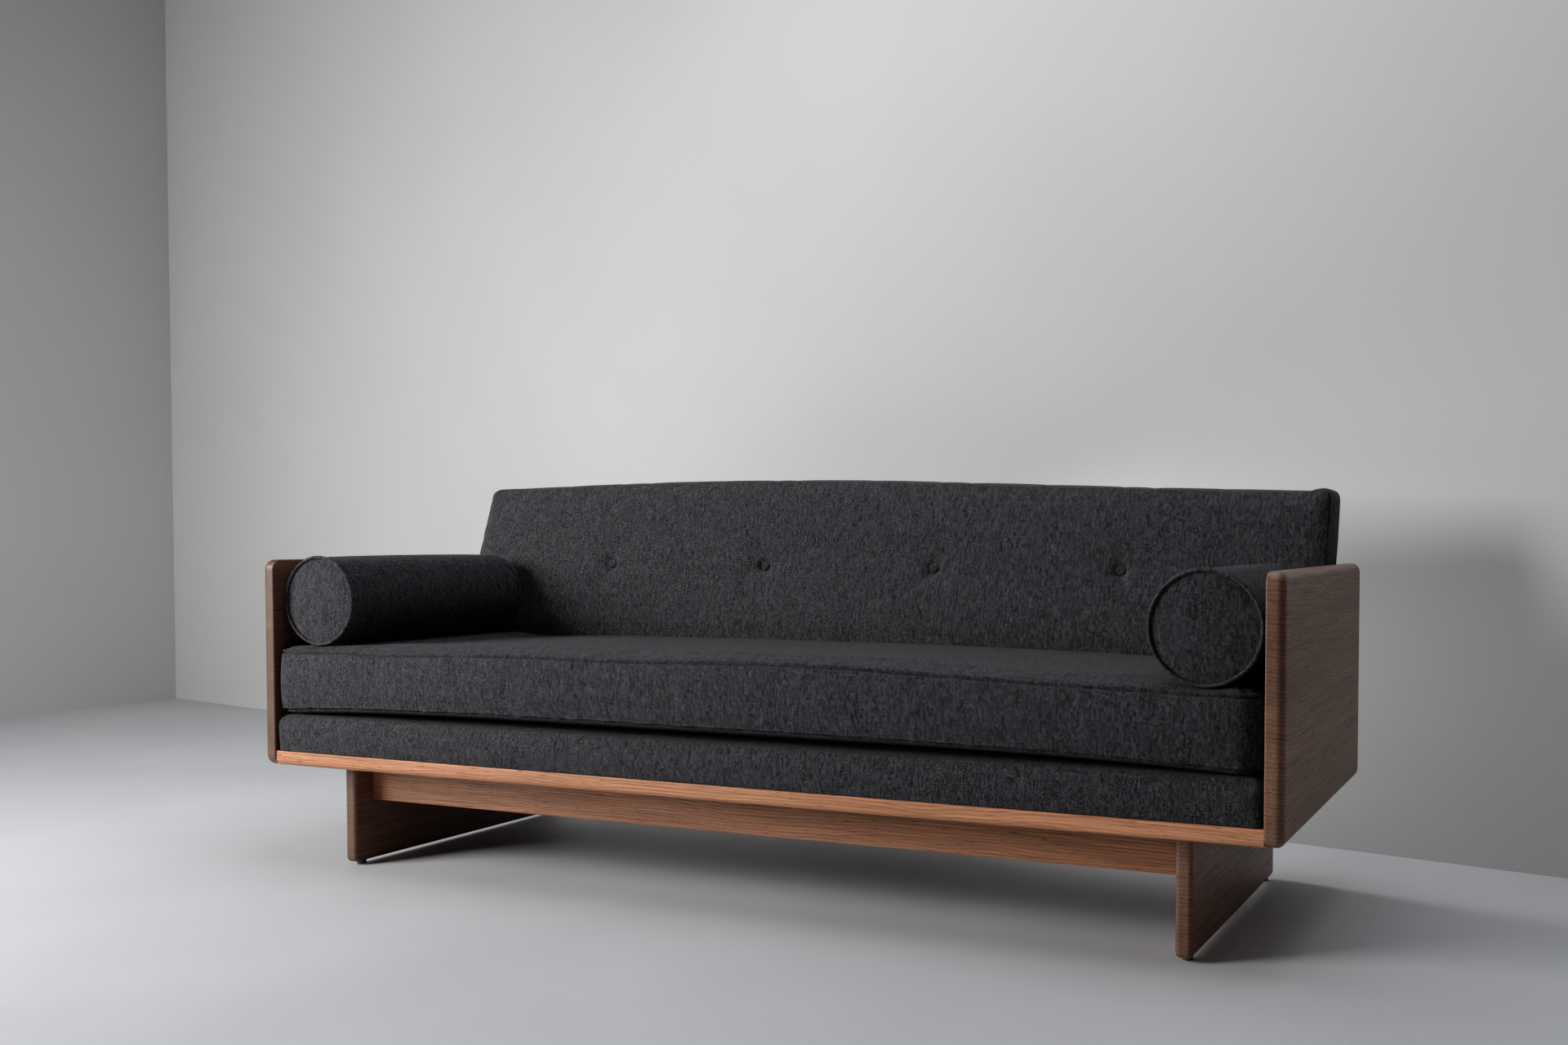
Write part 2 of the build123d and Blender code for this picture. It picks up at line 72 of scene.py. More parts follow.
def blanket(seed, reach):
    # a few long soft waves, the same each run, used for sag and puckers
    rng = random.Random(seed)
    waves = []
    for _ in range(waveCount):
        angle = rng.uniform(0, math.pi)
        pitch = rng.uniform(0.6, 1.6) * reach
        waves.append(
            (math.cos(angle) / pitch, math.sin(angle) / pitch, rng.uniform(0, 6.28), rng.uniform(0.5, 1))
        )
    total = sum(w[3] for w in waves) ** 0.5

    def height(u, v):
        out = 0
        for a, b, phase, weight in waves:
            out = out + weight * np.sin(6.283 * (a * u + b * v) + phase)
        return out / (1.5 * total)

    return height


def blockGrid(xs, ys, zs):
    # closed cuboid skin of quads; returns points and faces that look outwards
    nx, ny, nz = len(xs), len(ys), len(zs)
    shell = np.zeros((nx, ny, nz), bool)
    shell[[0, -1], :, :] = True
    shell[:, [0, -1], :] = True
    shell[:, :, [0, -1]] = True
    index = -np.ones((nx, ny, nz), int)
    index[shell] = np.arange(shell.sum())
    gx, gy, gz = np.meshgrid(xs, ys, zs, indexing="ij")
    points = np.stack([gx[shell], gy[shell], gz[shell]], 1)

    def quads(sheet, flip):
        a, b, c, d = sheet[:-1, :-1], sheet[1:, :-1], sheet[1:, 1:], sheet[:-1, 1:]
        order = (a, d, c, b) if flip else (a, b, c, d)
        return np.stack([part.ravel() for part in order], 1)

    faces = np.concatenate([
        quads(index[:, :, -1], False), quads(index[:, :, 0], True),
        quads(index[:, 0, :], False), quads(index[:, -1, :], True),
        quads(index[-1, :, :], False), quads(index[0, :, :], True),
    ])
    return points, faces


def roundBlock(points, half, cornerRound, topRound, bottomRound):
    # rounds a cuboid skin: cornerRound in plan, topRound and bottomRound over the long edges
    hx, hy, hz = half
    x, y, z = points.T.copy()
    onTop, onBottom = z > hz - 1e-9, z < -hz + 1e-9
    flat = onTop | onBottom
    a = np.abs(x) - (hx - cornerRound)
    b = np.abs(y) - (hy - cornerRound)
    corner = (a > 0) & (b > 0)
    far = np.maximum(a, b)
    stretch = np.where(corner, far / np.maximum(np.hypot(a, b), 1e-9), 1)
    wide = np.where(corner, a * stretch, a)
    deep = np.where(corner, b * stretch, b)
    nx = np.where(corner, np.maximum(wide, 0), np.where(hx - np.abs(x) < hy - np.abs(y), 1.0, 0.0))
    ny = np.where(corner, np.maximum(deep, 0), np.where(hx - np.abs(x) < hy - np.abs(y), 0.0, 1.0))
    size = np.maximum(np.hypot(nx, ny), 1e-9)
    nx, ny = nx / size * np.sign(x), ny / size * np.sign(y)
    inset = np.where(corner, cornerRound - far, np.minimum(hx - np.abs(x), hy - np.abs(y)))
    px = np.sign(x) * (hx - cornerRound + wide)
    py = np.sign(y) * (hy - cornerRound + deep)
    drawn, height = inset.copy(), z.copy()
    for up, radius in ((1, topRound), (-1, bottomRound)):
        lid = flat & (z * up > 0) & (inset < radius)
        angle = np.arctan2(radius - inset, radius)
        drawn = np.where(lid, radius - radius * np.sin(angle), drawn)
        height = np.where(lid, up * (hz - radius + radius * np.cos(angle)), height)
        depth = hz - z * up
        wall = ~flat & (depth < radius)
        angle = np.arctan2(radius - depth, radius)
        drawn = np.where(wall, radius - radius * np.cos(angle), drawn)
        height = np.where(wall, up * (hz - radius + radius * np.sin(angle)), height)
    px = px - nx * (drawn - inset)
    py = py - ny * (drawn - inset)
    return np.stack([px, py, height], 1)


def makeMesh(name, points, faces, lay=None):
    mesh = bpy.data.meshes.new(name)
    mesh.vertices.add(len(points))
    mesh.vertices.foreach_set("co", np.asarray(points, np.float32).ravel())
    counts = np.array([len(f) for f in faces])
    mesh.loops.add(int(counts.sum()))
    mesh.loops.foreach_set("vertex_index", np.concatenate([np.asarray(f) for f in faces]).astype(np.int32))
    mesh.polygons.add(len(faces))
    mesh.polygons.foreach_set("loop_start", (np.cumsum(counts) - counts).astype(np.int32))
    if lay is not None:
        mesh.attributes.new("lay", "FLOAT_VECTOR", "POINT").data.foreach_set(
            "vector", np.asarray(lay, np.float32).ravel())
    mesh.update()
    mesh.validate()
    mesh.shade_smooth()
    piece = bpy.data.objects.new(name, mesh)
    scene.collection.objects.link(piece)
    return piece


def pointsOf(piece):
    co = np.zeros(len(piece.data.vertices) * 3, np.float32)
    piece.data.vertices.foreach_get("co", co)
    return co.reshape(-1, 3).astype(float)


def layOf(piece):
    lay = np.zeros(len(piece.data.vertices) * 3, np.float32)
    piece.data.attributes["lay"].data.foreach_get("vector", lay)
    return lay.reshape(-1, 3).astype(float)


def normalsOf(piece):
    out = np.zeros(len(piece.data.vertices) * 3, np.float32)
    piece.data.vertex_normals.foreach_get("vector", out)
    return out.reshape(-1, 3).astype(float)


def setPoints(piece, points):
    piece.data.vertices.foreach_set("co", np.asarray(points, np.float32).ravel())
    piece.data.update()


def baked(piece):
    # takes the modifiers' result into the mesh
    graph = bpy.context.evaluated_depsgraph_get()
    mesh = bpy.data.meshes.new_from_object(
        piece.evaluated_get(graph), preserve_all_data_layers=True, depsgraph=graph
    )
    piece.modifiers.clear()
    piece.data = mesh
    mesh.shade_smooth()
    return piece


stuffing = {"quality": 4, "mass": 0.15, "bending": 0.8, "frames": 20}


def puff(piece, pressure, cap, stiffness, swell, held=None):
    # stuffing: the cover is blown up gently, and no point moves further than cap
    start = pointsOf(piece)
    cloth = piece.modifiers.new("stuffing", "CLOTH")
    rule = cloth.settings
    rule.quality = stuffing["quality"]
    rule.mass = stuffing["mass"]
    rule.tension_stiffness = stiffness
    rule.compression_stiffness = stiffness
    rule.shear_stiffness = stiffness / 2
    rule.bending_stiffness = stuffing["bending"]
    rule.shrink_min = -swell
    rule.use_pressure = True
    rule.uniform_pressure_force = pressure
    rule.effector_weights.gravity = 0
    cloth.collision_settings.use_collision = False
    if held is not None:
        group = piece.vertex_groups.new(name="seams")
        for weight in np.unique(np.round(held, 2)):
            if weight > 0:
                group.add(
                    [int(i) for i in np.nonzero(np.round(held, 2) == weight)[0]], float(weight), "REPLACE"
                )
        rule.vertex_group_mass = "seams"
        rule.pin_stiffness = 1
    for step in range(1, stuffing["frames"] + 1):
        scene.frame_set(step)
    graph = bpy.context.evaluated_depsgraph_get()
    shown = piece.evaluated_get(graph)
    end = np.zeros(len(start) * 3, np.float32)
    shown.data.vertices.foreach_get("co", end)
    moved = end.reshape(-1, 3) - start
    length = np.linalg.norm(moved, axis=1, keepdims=True)
    print(piece.name, "stuffed: moved up to %.1f mm, mean %.1f" % (length.max() * 1000, length.mean() * 1000))
    moved *= np.tanh(length / cap) * cap / np.maximum(length, 1e-9)
    piece.modifiers.clear()
    piece.vertex_groups.clear()
    scene.frame_set(1)
    setPoints(piece, start + moved)
    return piece


def subdivided(piece):
    piece.modifiers.new("finer", "SUBSURF").levels = 1
    return baked(piece)


def groove(distance, width, depth):
    return -depth * np.exp(-(distance / width) ** 2)


def bandFaces(rows, turns):
    # quads between rings of points that lie one after another
    faces = []
    for i in range(rows - 1):
        for k in range(turns):
            m = (k + 1) % turns
            faces.append((i * turns + k, i * turns + m, (i + 1) * turns + m, (i + 1) * turns + k))
    return faces


def tube(name, path, radius, sides=12, closed=True):
    # a round tube along the points of path
    path = np.asarray(path)
    count = len(path)
    ahead = np.roll(path, -1, 0) - np.roll(path, 1, 0)
    if not closed:
        ahead[0], ahead[-1] = path[1] - path[0], path[-1] - path[-2]
    ahead /= np.linalg.norm(ahead, axis=1, keepdims=True)
    across = np.zeros_like(path)
    guide = np.array([0.13, 0.21, 0.97]) if abs(ahead[0][2]) < 0.9 else np.array([1.0, 0.1, 0.0])
    for i in range(count):
        guide = guide - ahead[i] * guide.dot(ahead[i])
        guide /= np.linalg.norm(guide)
        across[i] = guide
    other = np.cross(ahead, across)
    radius = np.broadcast_to(radius, count)
    angle = np.linspace(0, 2 * math.pi, sides, endpoint=False)
    ring = path[:, None] + radius[:, None, None] * (
        across[:, None] * np.cos(angle)[None, :, None] + other[:, None] * np.sin(angle)[None, :, None]
    )
    points = ring.reshape(-1, 3)
    faces = []
    for i in range(count if closed else count - 1):
        j = (i + 1) % count
        for k in range(sides):
            m = (k + 1) % sides
            faces.append((i * sides + k, i * sides + m, j * sides + m, j * sides + k))
    if not closed:
        faces.append(tuple(range(sides))[::-1])
        faces.append(tuple((count - 1) * sides + k for k in range(sides)))
    return makeMesh(name, points, faces)


# node helpers

def newMaterial(name):
    material = bpy.data.materials.new(name)
    material.use_nodes = True
    tree = material.node_tree
    shader = tree.nodes["Principled BSDF"]
    return material, tree, shader


def newGroup(name, inputs, outputs):
    # inputs: each name with its value, or None for a vector; outputs: names of values
    tree = bpy.data.node_groups.new(name, "ShaderNodeTree")
    for label, value in inputs.items():
        kind = "NodeSocketVector" if value is None else "NodeSocketFloat"
        socket = tree.interface.new_socket(name=label, in_out="INPUT", socket_type=kind)
        if value is not None:
            socket.default_value = value
    for label in outputs:
        tree.interface.new_socket(name=label, in_out="OUTPUT", socket_type="NodeSocketFloat")
    return tree, tree.nodes.new("NodeGroupInput"), tree.nodes.new("NodeGroupOutput")


def feed(tree, socket, value):
    if isinstance(value, bpy.types.NodeSocket):
        tree.links.new(value, socket)
    elif value is not None:
        socket.default_value = value


def calc(tree, operation, a, b=None):
    node = tree.nodes.new("ShaderNodeMath")
    node.operation = operation
    for socket, value in zip(node.inputs, (a, b)):
        feed(tree, socket, value)
    return node.outputs[0]


def plus(tree, a, b):
    return calc(tree, "ADD", a, b)


def minus(tree, a, b):
    return calc(tree, "SUBTRACT", a, b)


def times(tree, a, b):
    return calc(tree, "MULTIPLY", a, b)


def vectorCalc(tree, operation, a, b=None):
    node = tree.nodes.new("ShaderNodeVectorMath")
    node.operation = operation
    for socket, value in zip(node.inputs, (a, b)):
        feed(tree, socket, value)
    return node.outputs[0]


def split(tree, vector):
    node = tree.nodes.new("ShaderNodeSeparateXYZ")
    feed(tree, node.inputs[0], vector)
    return node.outputs[0], node.outputs[1], node.outputs[2]


def join(tree, x, y, z=0.0):
    node = tree.nodes.new("ShaderNodeCombineXYZ")
    for socket, value in zip(node.inputs, (x, y, z)):
        feed(tree, socket, value)
    return node.outputs[0]


def noise(tree, vector, scale, detail=2.0, roughness=0.5):
    node = tree.nodes.new("ShaderNodeTexNoise")
    feed(tree, node.inputs["Vector"], vector)
    feed(tree, node.inputs["Scale"], scale)
    node.inputs["Detail"].default_value = detail
    node.inputs["Roughness"].default_value = roughness
    return node.outputs["Fac"]


def between(tree, value, low, high, toLow=0.0, toHigh=1.0, kind="LINEAR"):
    node = tree.nodes.new("ShaderNodeMapRange")
    node.interpolation_type = kind
    for socket, v in zip(node.inputs, (value, low, high, toLow, toHigh)):
        feed(tree, socket, v)
    return node.outputs[0]


def blendColours(tree, factor, a, b, kind="MIX"):
    node = tree.nodes.new("ShaderNodeMix")
    node.data_type = "RGBA"
    node.blend_type = kind
    feed(tree, node.inputs["Factor"], factor)
    feed(tree, node.inputs["A"], (*a, 1) if isinstance(a, tuple) else a)
    feed(tree, node.inputs["B"], (*b, 1) if isinstance(b, tuple) else b)
    return node.outputs["Result"]


def placeGroup(tree, group, values):
    node = tree.nodes.new("ShaderNodeGroup")
    node.node_tree = group
    for label, value in values.items():
        feed(tree, node.inputs[label], value)
    return node


def bump(tree, shader, height, distance, strength=1.0):
    node = tree.nodes.new("ShaderNodeBump")
    node.inputs["Strength"].default_value = strength
    node.inputs["Distance"].default_value = distance
    tree.links.new(height, node.inputs["Height"])
    tree.links.new(node.outputs[0], shader.inputs["Normal"])


def objectPlace(tree):
    return tree.nodes.new("ShaderNodeTexCoord").outputs["Object"]


# wood

def buildWoodGrain():
    # sawn from a log: rings round an axis that runs with the grain, fibres and open pores along it
    tree, given, out = newGroup("woodGrain", {
        "Place": None, "Heart Y": 0.2, "Heart Z": 0.05, "Ring Pitch": 0.008, "Waviness": 0.02, "Seed": 0.0,
    }, ("Rings", "Fibres", "Pores", "Tone"))
    seed = given.outputs["Seed"]
    shift = join(tree, times(tree, seed, 3.71), times(tree, seed, 1.37), times(tree, seed, 2.11))
    place = vectorCalc(tree, "ADD", given.outputs["Place"], shift)
    x, y, z = split(tree, place)
    ownY, ownZ = split(tree, given.outputs["Place"])[1:]
    slow = noise(tree, join(tree, times(tree, x, 0.9), times(tree, y, 2.2), z), 1.7, 2.0)
    slow2 = noise(tree, join(tree, times(tree, x, 1.3), y, times(tree, z, 2.2)), 2.3, 2.0)
    wave = given.outputs["Waviness"]
    dy = plus(tree, plus(tree, ownY, given.outputs["Heart Y"]),
              times(tree, minus(tree, slow, 0.5), times(tree, wave, 6.0)))
    dz = plus(tree, plus(tree, ownZ, given.outputs["Heart Z"]),
              times(tree, minus(tree, slow2, 0.5), times(tree, wave, 6.0)))
    far = calc(tree, "SQRT", plus(tree, times(tree, dy, dy), times(tree, dz, dz)))
    ragged = noise(
        tree, join(tree, times(tree, x, 4.0), times(tree, y, 90.0), times(tree, z, 90.0)), 1.0, 3.0
    )
    count = plus(tree, calc(tree, "DIVIDE", far, given.outputs["Ring Pitch"]), times(tree, ragged, 0.9))
    phase = calc(tree, "FRACT", count)
    rise = between(tree, phase, 0.0, 0.82, kind="SMOOTHSTEP")
    fall = between(tree, phase, 0.86, 1.0, 1.0, 0.0, kind="SMOOTHSTEP")
    rings = times(tree, rise, fall)
    strong = noise(tree, join(tree, calc(tree, "FLOOR", count), seed, times(tree, x, 0.6)), 0.73, 1.0)
    rings = times(tree, rings, between(tree, strong, 0.3, 0.7, 0.35, 1.0))
    fibres = noise(
        tree, join(tree, times(tree, x, 7.0), times(tree, y, 430.0), times(tree, z, 430.0)), 1.0, 4.0, 0.65
    )
    grains = noise(
        tree, join(tree, times(tree, x, 38.0), times(tree, y, 950.0), times(tree, z, 950.0)), 1.0, 1.0, 0.5
    )
    openRing = between(tree, rings, 0.0, 1.0, 0.0, 0.06)
    pores = between(tree, plus(tree, grains, openRing), 0.66, 0.74, kind="SMOOTHSTEP")
    tone = noise(
        tree, join(tree, times(tree, x, 1.1), times(tree, y, 16.0), times(tree, z, 16.0)), 1.0, 3.0, 0.55
    )
    for label, value in (("Rings", rings), ("Fibres", fibres), ("Pores", pores), ("Tone", tone)):
        tree.links.new(value, out.inputs[label])
    return tree


woodGrain = buildWoodGrain()


def woodMaterial(name, along, seed, look, heart, stave=None, tint=1.0):
    # along: the axis of the grain. stave: (axis, width, start) where a wide board is glued from narrow ones
    material, tree, shader = newMaterial(name)
    x, y, z = split(tree, objectPlace(tree))
    order = {"x": (x, y, z), "y": (y, x, z), "z": (z, y, x)}[along]
    place = join(tree, *order)
    seedValue = seed
    heartY, heartZ = heart
    if stave:
        axis, width, start = stave
        cell = calc(
            tree, "FLOOR", calc(tree, "DIVIDE", minus(tree, {"x": x, "y": y, "z": z}[axis], start), width)
        )
        seedValue = plus(tree, times(tree, cell, 5.37), seed)
        heartZ = plus(tree, times(tree, calc(tree, "SINE", times(tree, seedValue, 2.9)), 0.12), heartZ)
    grain = placeGroup(tree, woodGrain, {
        "Place": place, "Heart Y": heartY, "Heart Z": heartZ, "Ring Pitch": look["ringPitch"],
        "Waviness": look["waviness"], "Seed": seedValue})
    rings, fibres, pores, tone = (grain.outputs[k] for k in ("Rings", "Fibres", "Pores", "Tone"))
    # tint scales all the board's colours; for the walnut boards it carries painted light and shade as well as
    # the wood's own tone
    light, mid, dark, pore = (tuple(c * tint for c in look[k]) for k in ("light", "mid", "dark", "pore"))
    colour = blendColours(tree, between(tree, tone, 0.34, 0.66), light, mid)
    colour = blendColours(tree, times(tree, rings, look["ringDepth"]), colour, dark)
    colour = blendColours(tree, between(tree, fibres, 0.42, 0.66, 0.0, look["fibreDepth"]), colour, dark)
    colour = blendColours(tree, times(tree, pores, look["poreDepth"]), colour, pore)
    if stave:
        shade = calc(tree, "FRACT", times(tree, calc(tree, "SINE", times(tree, seedValue, 12.99)), 43.7))
        colour = blendColours(tree, times(tree, shade, 0.3), colour, dark)
    tree.links.new(colour, shader.inputs["Base Color"])
    rough = plus(tree, between(tree, fibres, 0.3, 0.8, look["rough"] - 0.05, look["rough"] + 0.06),
                 times(tree, pores, 0.15))
    tree.links.new(rough, shader.inputs["Roughness"])
    shader.inputs["Specular IOR Level"].default_value = 0.4
    shader.inputs["Coat Weight"].default_value = look["coat"]
    shader.inputs["Coat Roughness"].default_value = 0.38
    relief = minus(tree, times(tree, fibres, 0.35), pores)
    bump(tree, shader, relief, 0.00025, 0.5)
    return material


walnut = {
    "light": (0.430, 0.203, 0.108), "mid": (0.290, 0.125, 0.062),
    "dark": (0.115, 0.045, 0.022), "pore": (0.045, 0.017, 0.009),
    "ringPitch": 0.0058, "waviness": 0.008, "ringDepth": 0.60, "fibreDepth": 0.62, "poreDepth": 0.85,
    "rough": 0.46, "coat": 0.05,
}
heartWalnut = {
    **walnut, "light": (0.290, 0.162, 0.106), "mid": (0.190, 0.098, 0.061),
    "dark": (0.075, 0.034, 0.020), "pore": (0.028, 0.012, 0.008),
    "ringPitch": 0.0062, "coat": 0.04, "rough": 0.45,
}
beech = {
    "light": (0.60, 0.42, 0.27), "mid": (0.54, 0.36, 0.22),
    "dark": (0.38, 0.23, 0.13), "pore": (0.25, 0.14, 0.07),
    "ringPitch": 0.004, "waviness": 0.006, "ringDepth": 0.25, "fibreDepth": 0.3, "poreDepth": 0.5,
    "rough": 0.58, "coat": 0.0,
}


def dress(node, material):
    piece = nodes[node]
    piece.data.materials.clear()
    piece.data.materials.append(material)
    for face in piece.data.polygons:
        face.material_index = 0


# node, grain axis, seed, where the heart of the log lay, glued staves, tint. The tints were set board by
# board to how bright each board looks in its light, so they carry painted light and shade: the left panel and
# left leg are painted darker than the same walnut on the right.
walnutBoards = [
    ("left_side_panel", "y", 1.3, (1.03, 0.15), ("z", 0.138, 0.204), 0.72),
    ("right_side_panel", "y", 4.6, (-0.97, 0.12), ("z", 0.207, 0.204), 1.12),
    ("front_rail", "x", 2.2, (0.40, 0.35), None, 1.9),
    ("rear_rail", "x", 7.9, (-0.36, 0.40), None, 1.3),
    ("back_rail", "x", 3.4, (-0.20, 0.30), None, 0.9),
    ("left_leg", "y", 5.1, (0.90, 0.45), None, 0.66),
    ("right_leg", "y", 6.2, (-0.84, 0.40), None, 0.98),
    ("front_stretcher", "x", 8.3, (0.28, 0.50), None, 1.12),
    ("rear_stretcher", "x", 9.4, (-0.25, 0.45), None, 1.1),
]
for node, along, seed, heart, stave, tint in walnutBoards:
    look = walnut if along == "x" else heartWalnut
    dress(node, woodMaterial(node + "Walnut", along, seed, look, heart, stave, tint))
for seed, node in enumerate(n for n in sorted(nodes) if n.endswith(("bearer", "cleat"))):
    dress(node, woodMaterial(node + "Beech", "y", 11.0 + seed, beech, (0.15, 0.05 + 0.02 * seed)))
dowelSets = (("rail", "x"), ("back_rail", "x"), ("bearer", "y"), ("stretcher", "x"))
for seed, (place, along) in enumerate(dowelSets):
    node = place + "_dowels"
    dress(node, woodMaterial(node + "Beech", along, 31.0 + seed, beech, (0.03, 0.3)))
print("timber dressed")


def plywoodMaterial(name, normal, start, ply, seed):
    # birch plies seen at the edges, with a sanded birch face
    material, tree, shader = newMaterial(name)
    place = objectPlace(tree)
    dot = tree.nodes.new("ShaderNodeVectorMath")
    dot.operation = "DOT_PRODUCT"
    tree.links.new(place, dot.inputs[0])
    dot.inputs[1].default_value = normal
    layer = calc(tree, "DIVIDE", minus(tree, dot.outputs["Value"], start), ply)
    odd = calc(tree, "FRACT", times(tree, layer, 0.5))
    stripe = between(tree, odd, 0.47, 0.53, kind="SMOOTHSTEP")
    glue = between(tree, calc(tree, "PINGPONG", layer, 0.5), 0.0, 0.08, 1.0, 0.0)
    grain = placeGroup(
        tree, woodGrain,
        {"Place": place, "Heart Y": 0.3, "Heart Z": 0.4, "Ring Pitch": 0.02, "Waviness": 0.05, "Seed": seed}
    )
    colour = blendColours(tree, stripe, (0.62, 0.47, 0.30), (0.50, 0.35, 0.20))
    colour = blendColours(tree, times(tree, grain.outputs["Fibres"], 0.35), colour, (0.42, 0.28, 0.15))
    colour = blendColours(tree, times(tree, glue, 0.5), colour, (0.16, 0.09, 0.05))
    tree.links.new(colour, shader.inputs["Base Color"])
    tree.links.new(between(tree, grain.outputs["Fibres"], 0.2, 0.8, 0.55, 0.7), shader.inputs["Roughness"])
    bump(tree, shader, grain.outputs["Fibres"], 0.0002, 0.4)
    return material


slope = 0.35
boardNormal = Vector((0, 1, -slope)).normalized()
dress("pad_board", plywoodMaterial("padBoardBirch", (0, 0, 1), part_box("pad_board")[0].z, 0.0015, 21.0))
dress("back_board", plywoodMaterial("backBoardBirch", tuple(boardNormal), 0.0, 0.0015, 22.0))


# metal and moulded pieces

def buildFineWear():
    # fine brushing, cloudy patches and small specks for metal and moulded parts
    tree, given, out = newGroup("fineWear", {"Size": 1.0, "Stretch": 1.0}, ("Brush", "Cloud", "Speck"))
    x, y, z = split(tree, objectPlace(tree))
    pulled = join(tree, times(tree, x, given.outputs["Stretch"]), y, times(tree, z, given.outputs["Stretch"]))
    tree.links.new(noise(tree, pulled, times(tree, given.outputs["Size"], 900.0), 2.0), out.inputs["Brush"])
    tree.links.new(
        noise(tree, objectPlace(tree), times(tree, given.outputs["Size"], 60.0), 3.0), out.inputs["Cloud"]
    )
    tree.links.new(
        between(
            tree, noise(tree, objectPlace(tree), times(tree, given.outputs["Size"], 2400.0), 1.0), 0.62,
            0.72
        ),
        out.inputs["Speck"]
    )
    return tree


fineWear = buildFineWear()


def metalMaterial(name, colour, darker, metallic, rough, size=1.0, stretch=0.2, grit=0.3):
    material, tree, shader = newMaterial(name)
    wear = placeGroup(tree, fineWear, {"Size": size, "Stretch": stretch})
    tint = blendColours(tree, between(tree, wear.outputs["Cloud"], 0.35, 0.65), colour, darker)
    tint = blendColours(tree, times(tree, wear.outputs["Speck"], 0.4), tint, darker)
    tree.links.new(tint, shader.inputs["Base Color"])
    shader.inputs["Metallic"].default_value = metallic
    tree.links.new(
        between(tree, wear.outputs["Brush"], 0.3, 0.7, rough - 0.08, rough + 0.1),
        shader.inputs["Roughness"]
    )
    bump(tree, shader, plus(tree, wear.outputs["Brush"], wear.outputs["Speck"]), 0.00006, grit)
    return material


zincSteel = metalMaterial("zincSteel", (0.60, 0.60, 0.61), (0.42, 0.42, 0.45), 1.0, 0.34)
insertBrass = metalMaterial("insertBrass", (0.72, 0.54, 0.27), (0.50, 0.35, 0.15), 1.0, 0.36)
blackSteel = metalMaterial(
    "hookBlackPaint", (0.030, 0.030, 0.031), (0.020, 0.020, 0.022), 0.0, 0.48, 0.6, 1.0, 0.7
)
glideBrown = metalMaterial(
    "glideBrownPlastic", (0.095, 0.060, 0.042), (0.070, 0.043, 0.030), 0.0, 0.45, 0.5, 1.0, 0.4
)
zipCoil = metalMaterial(
    "zipBlackCoil", (0.022, 0.022, 0.025), (0.014, 0.014, 0.016), 0.0, 0.38, 1.0, 1.0, 0.3
)
zipSteel = metalMaterial("zipPullSteel", (0.30, 0.30, 0.31), (0.18, 0.18, 0.19), 1.0, 0.32)
for node in nodes:
    if node.endswith("inserts"):
        dress(node, insertBrass)
    elif node.endswith(("bolts", "screws", "toggles")):
        dress(node, zincSteel)
    elif node.endswith("back_hook"):
        dress(node, blackSteel)
    elif node.endswith("glide"):
        dress(node, glideBrown)


# wool cloth

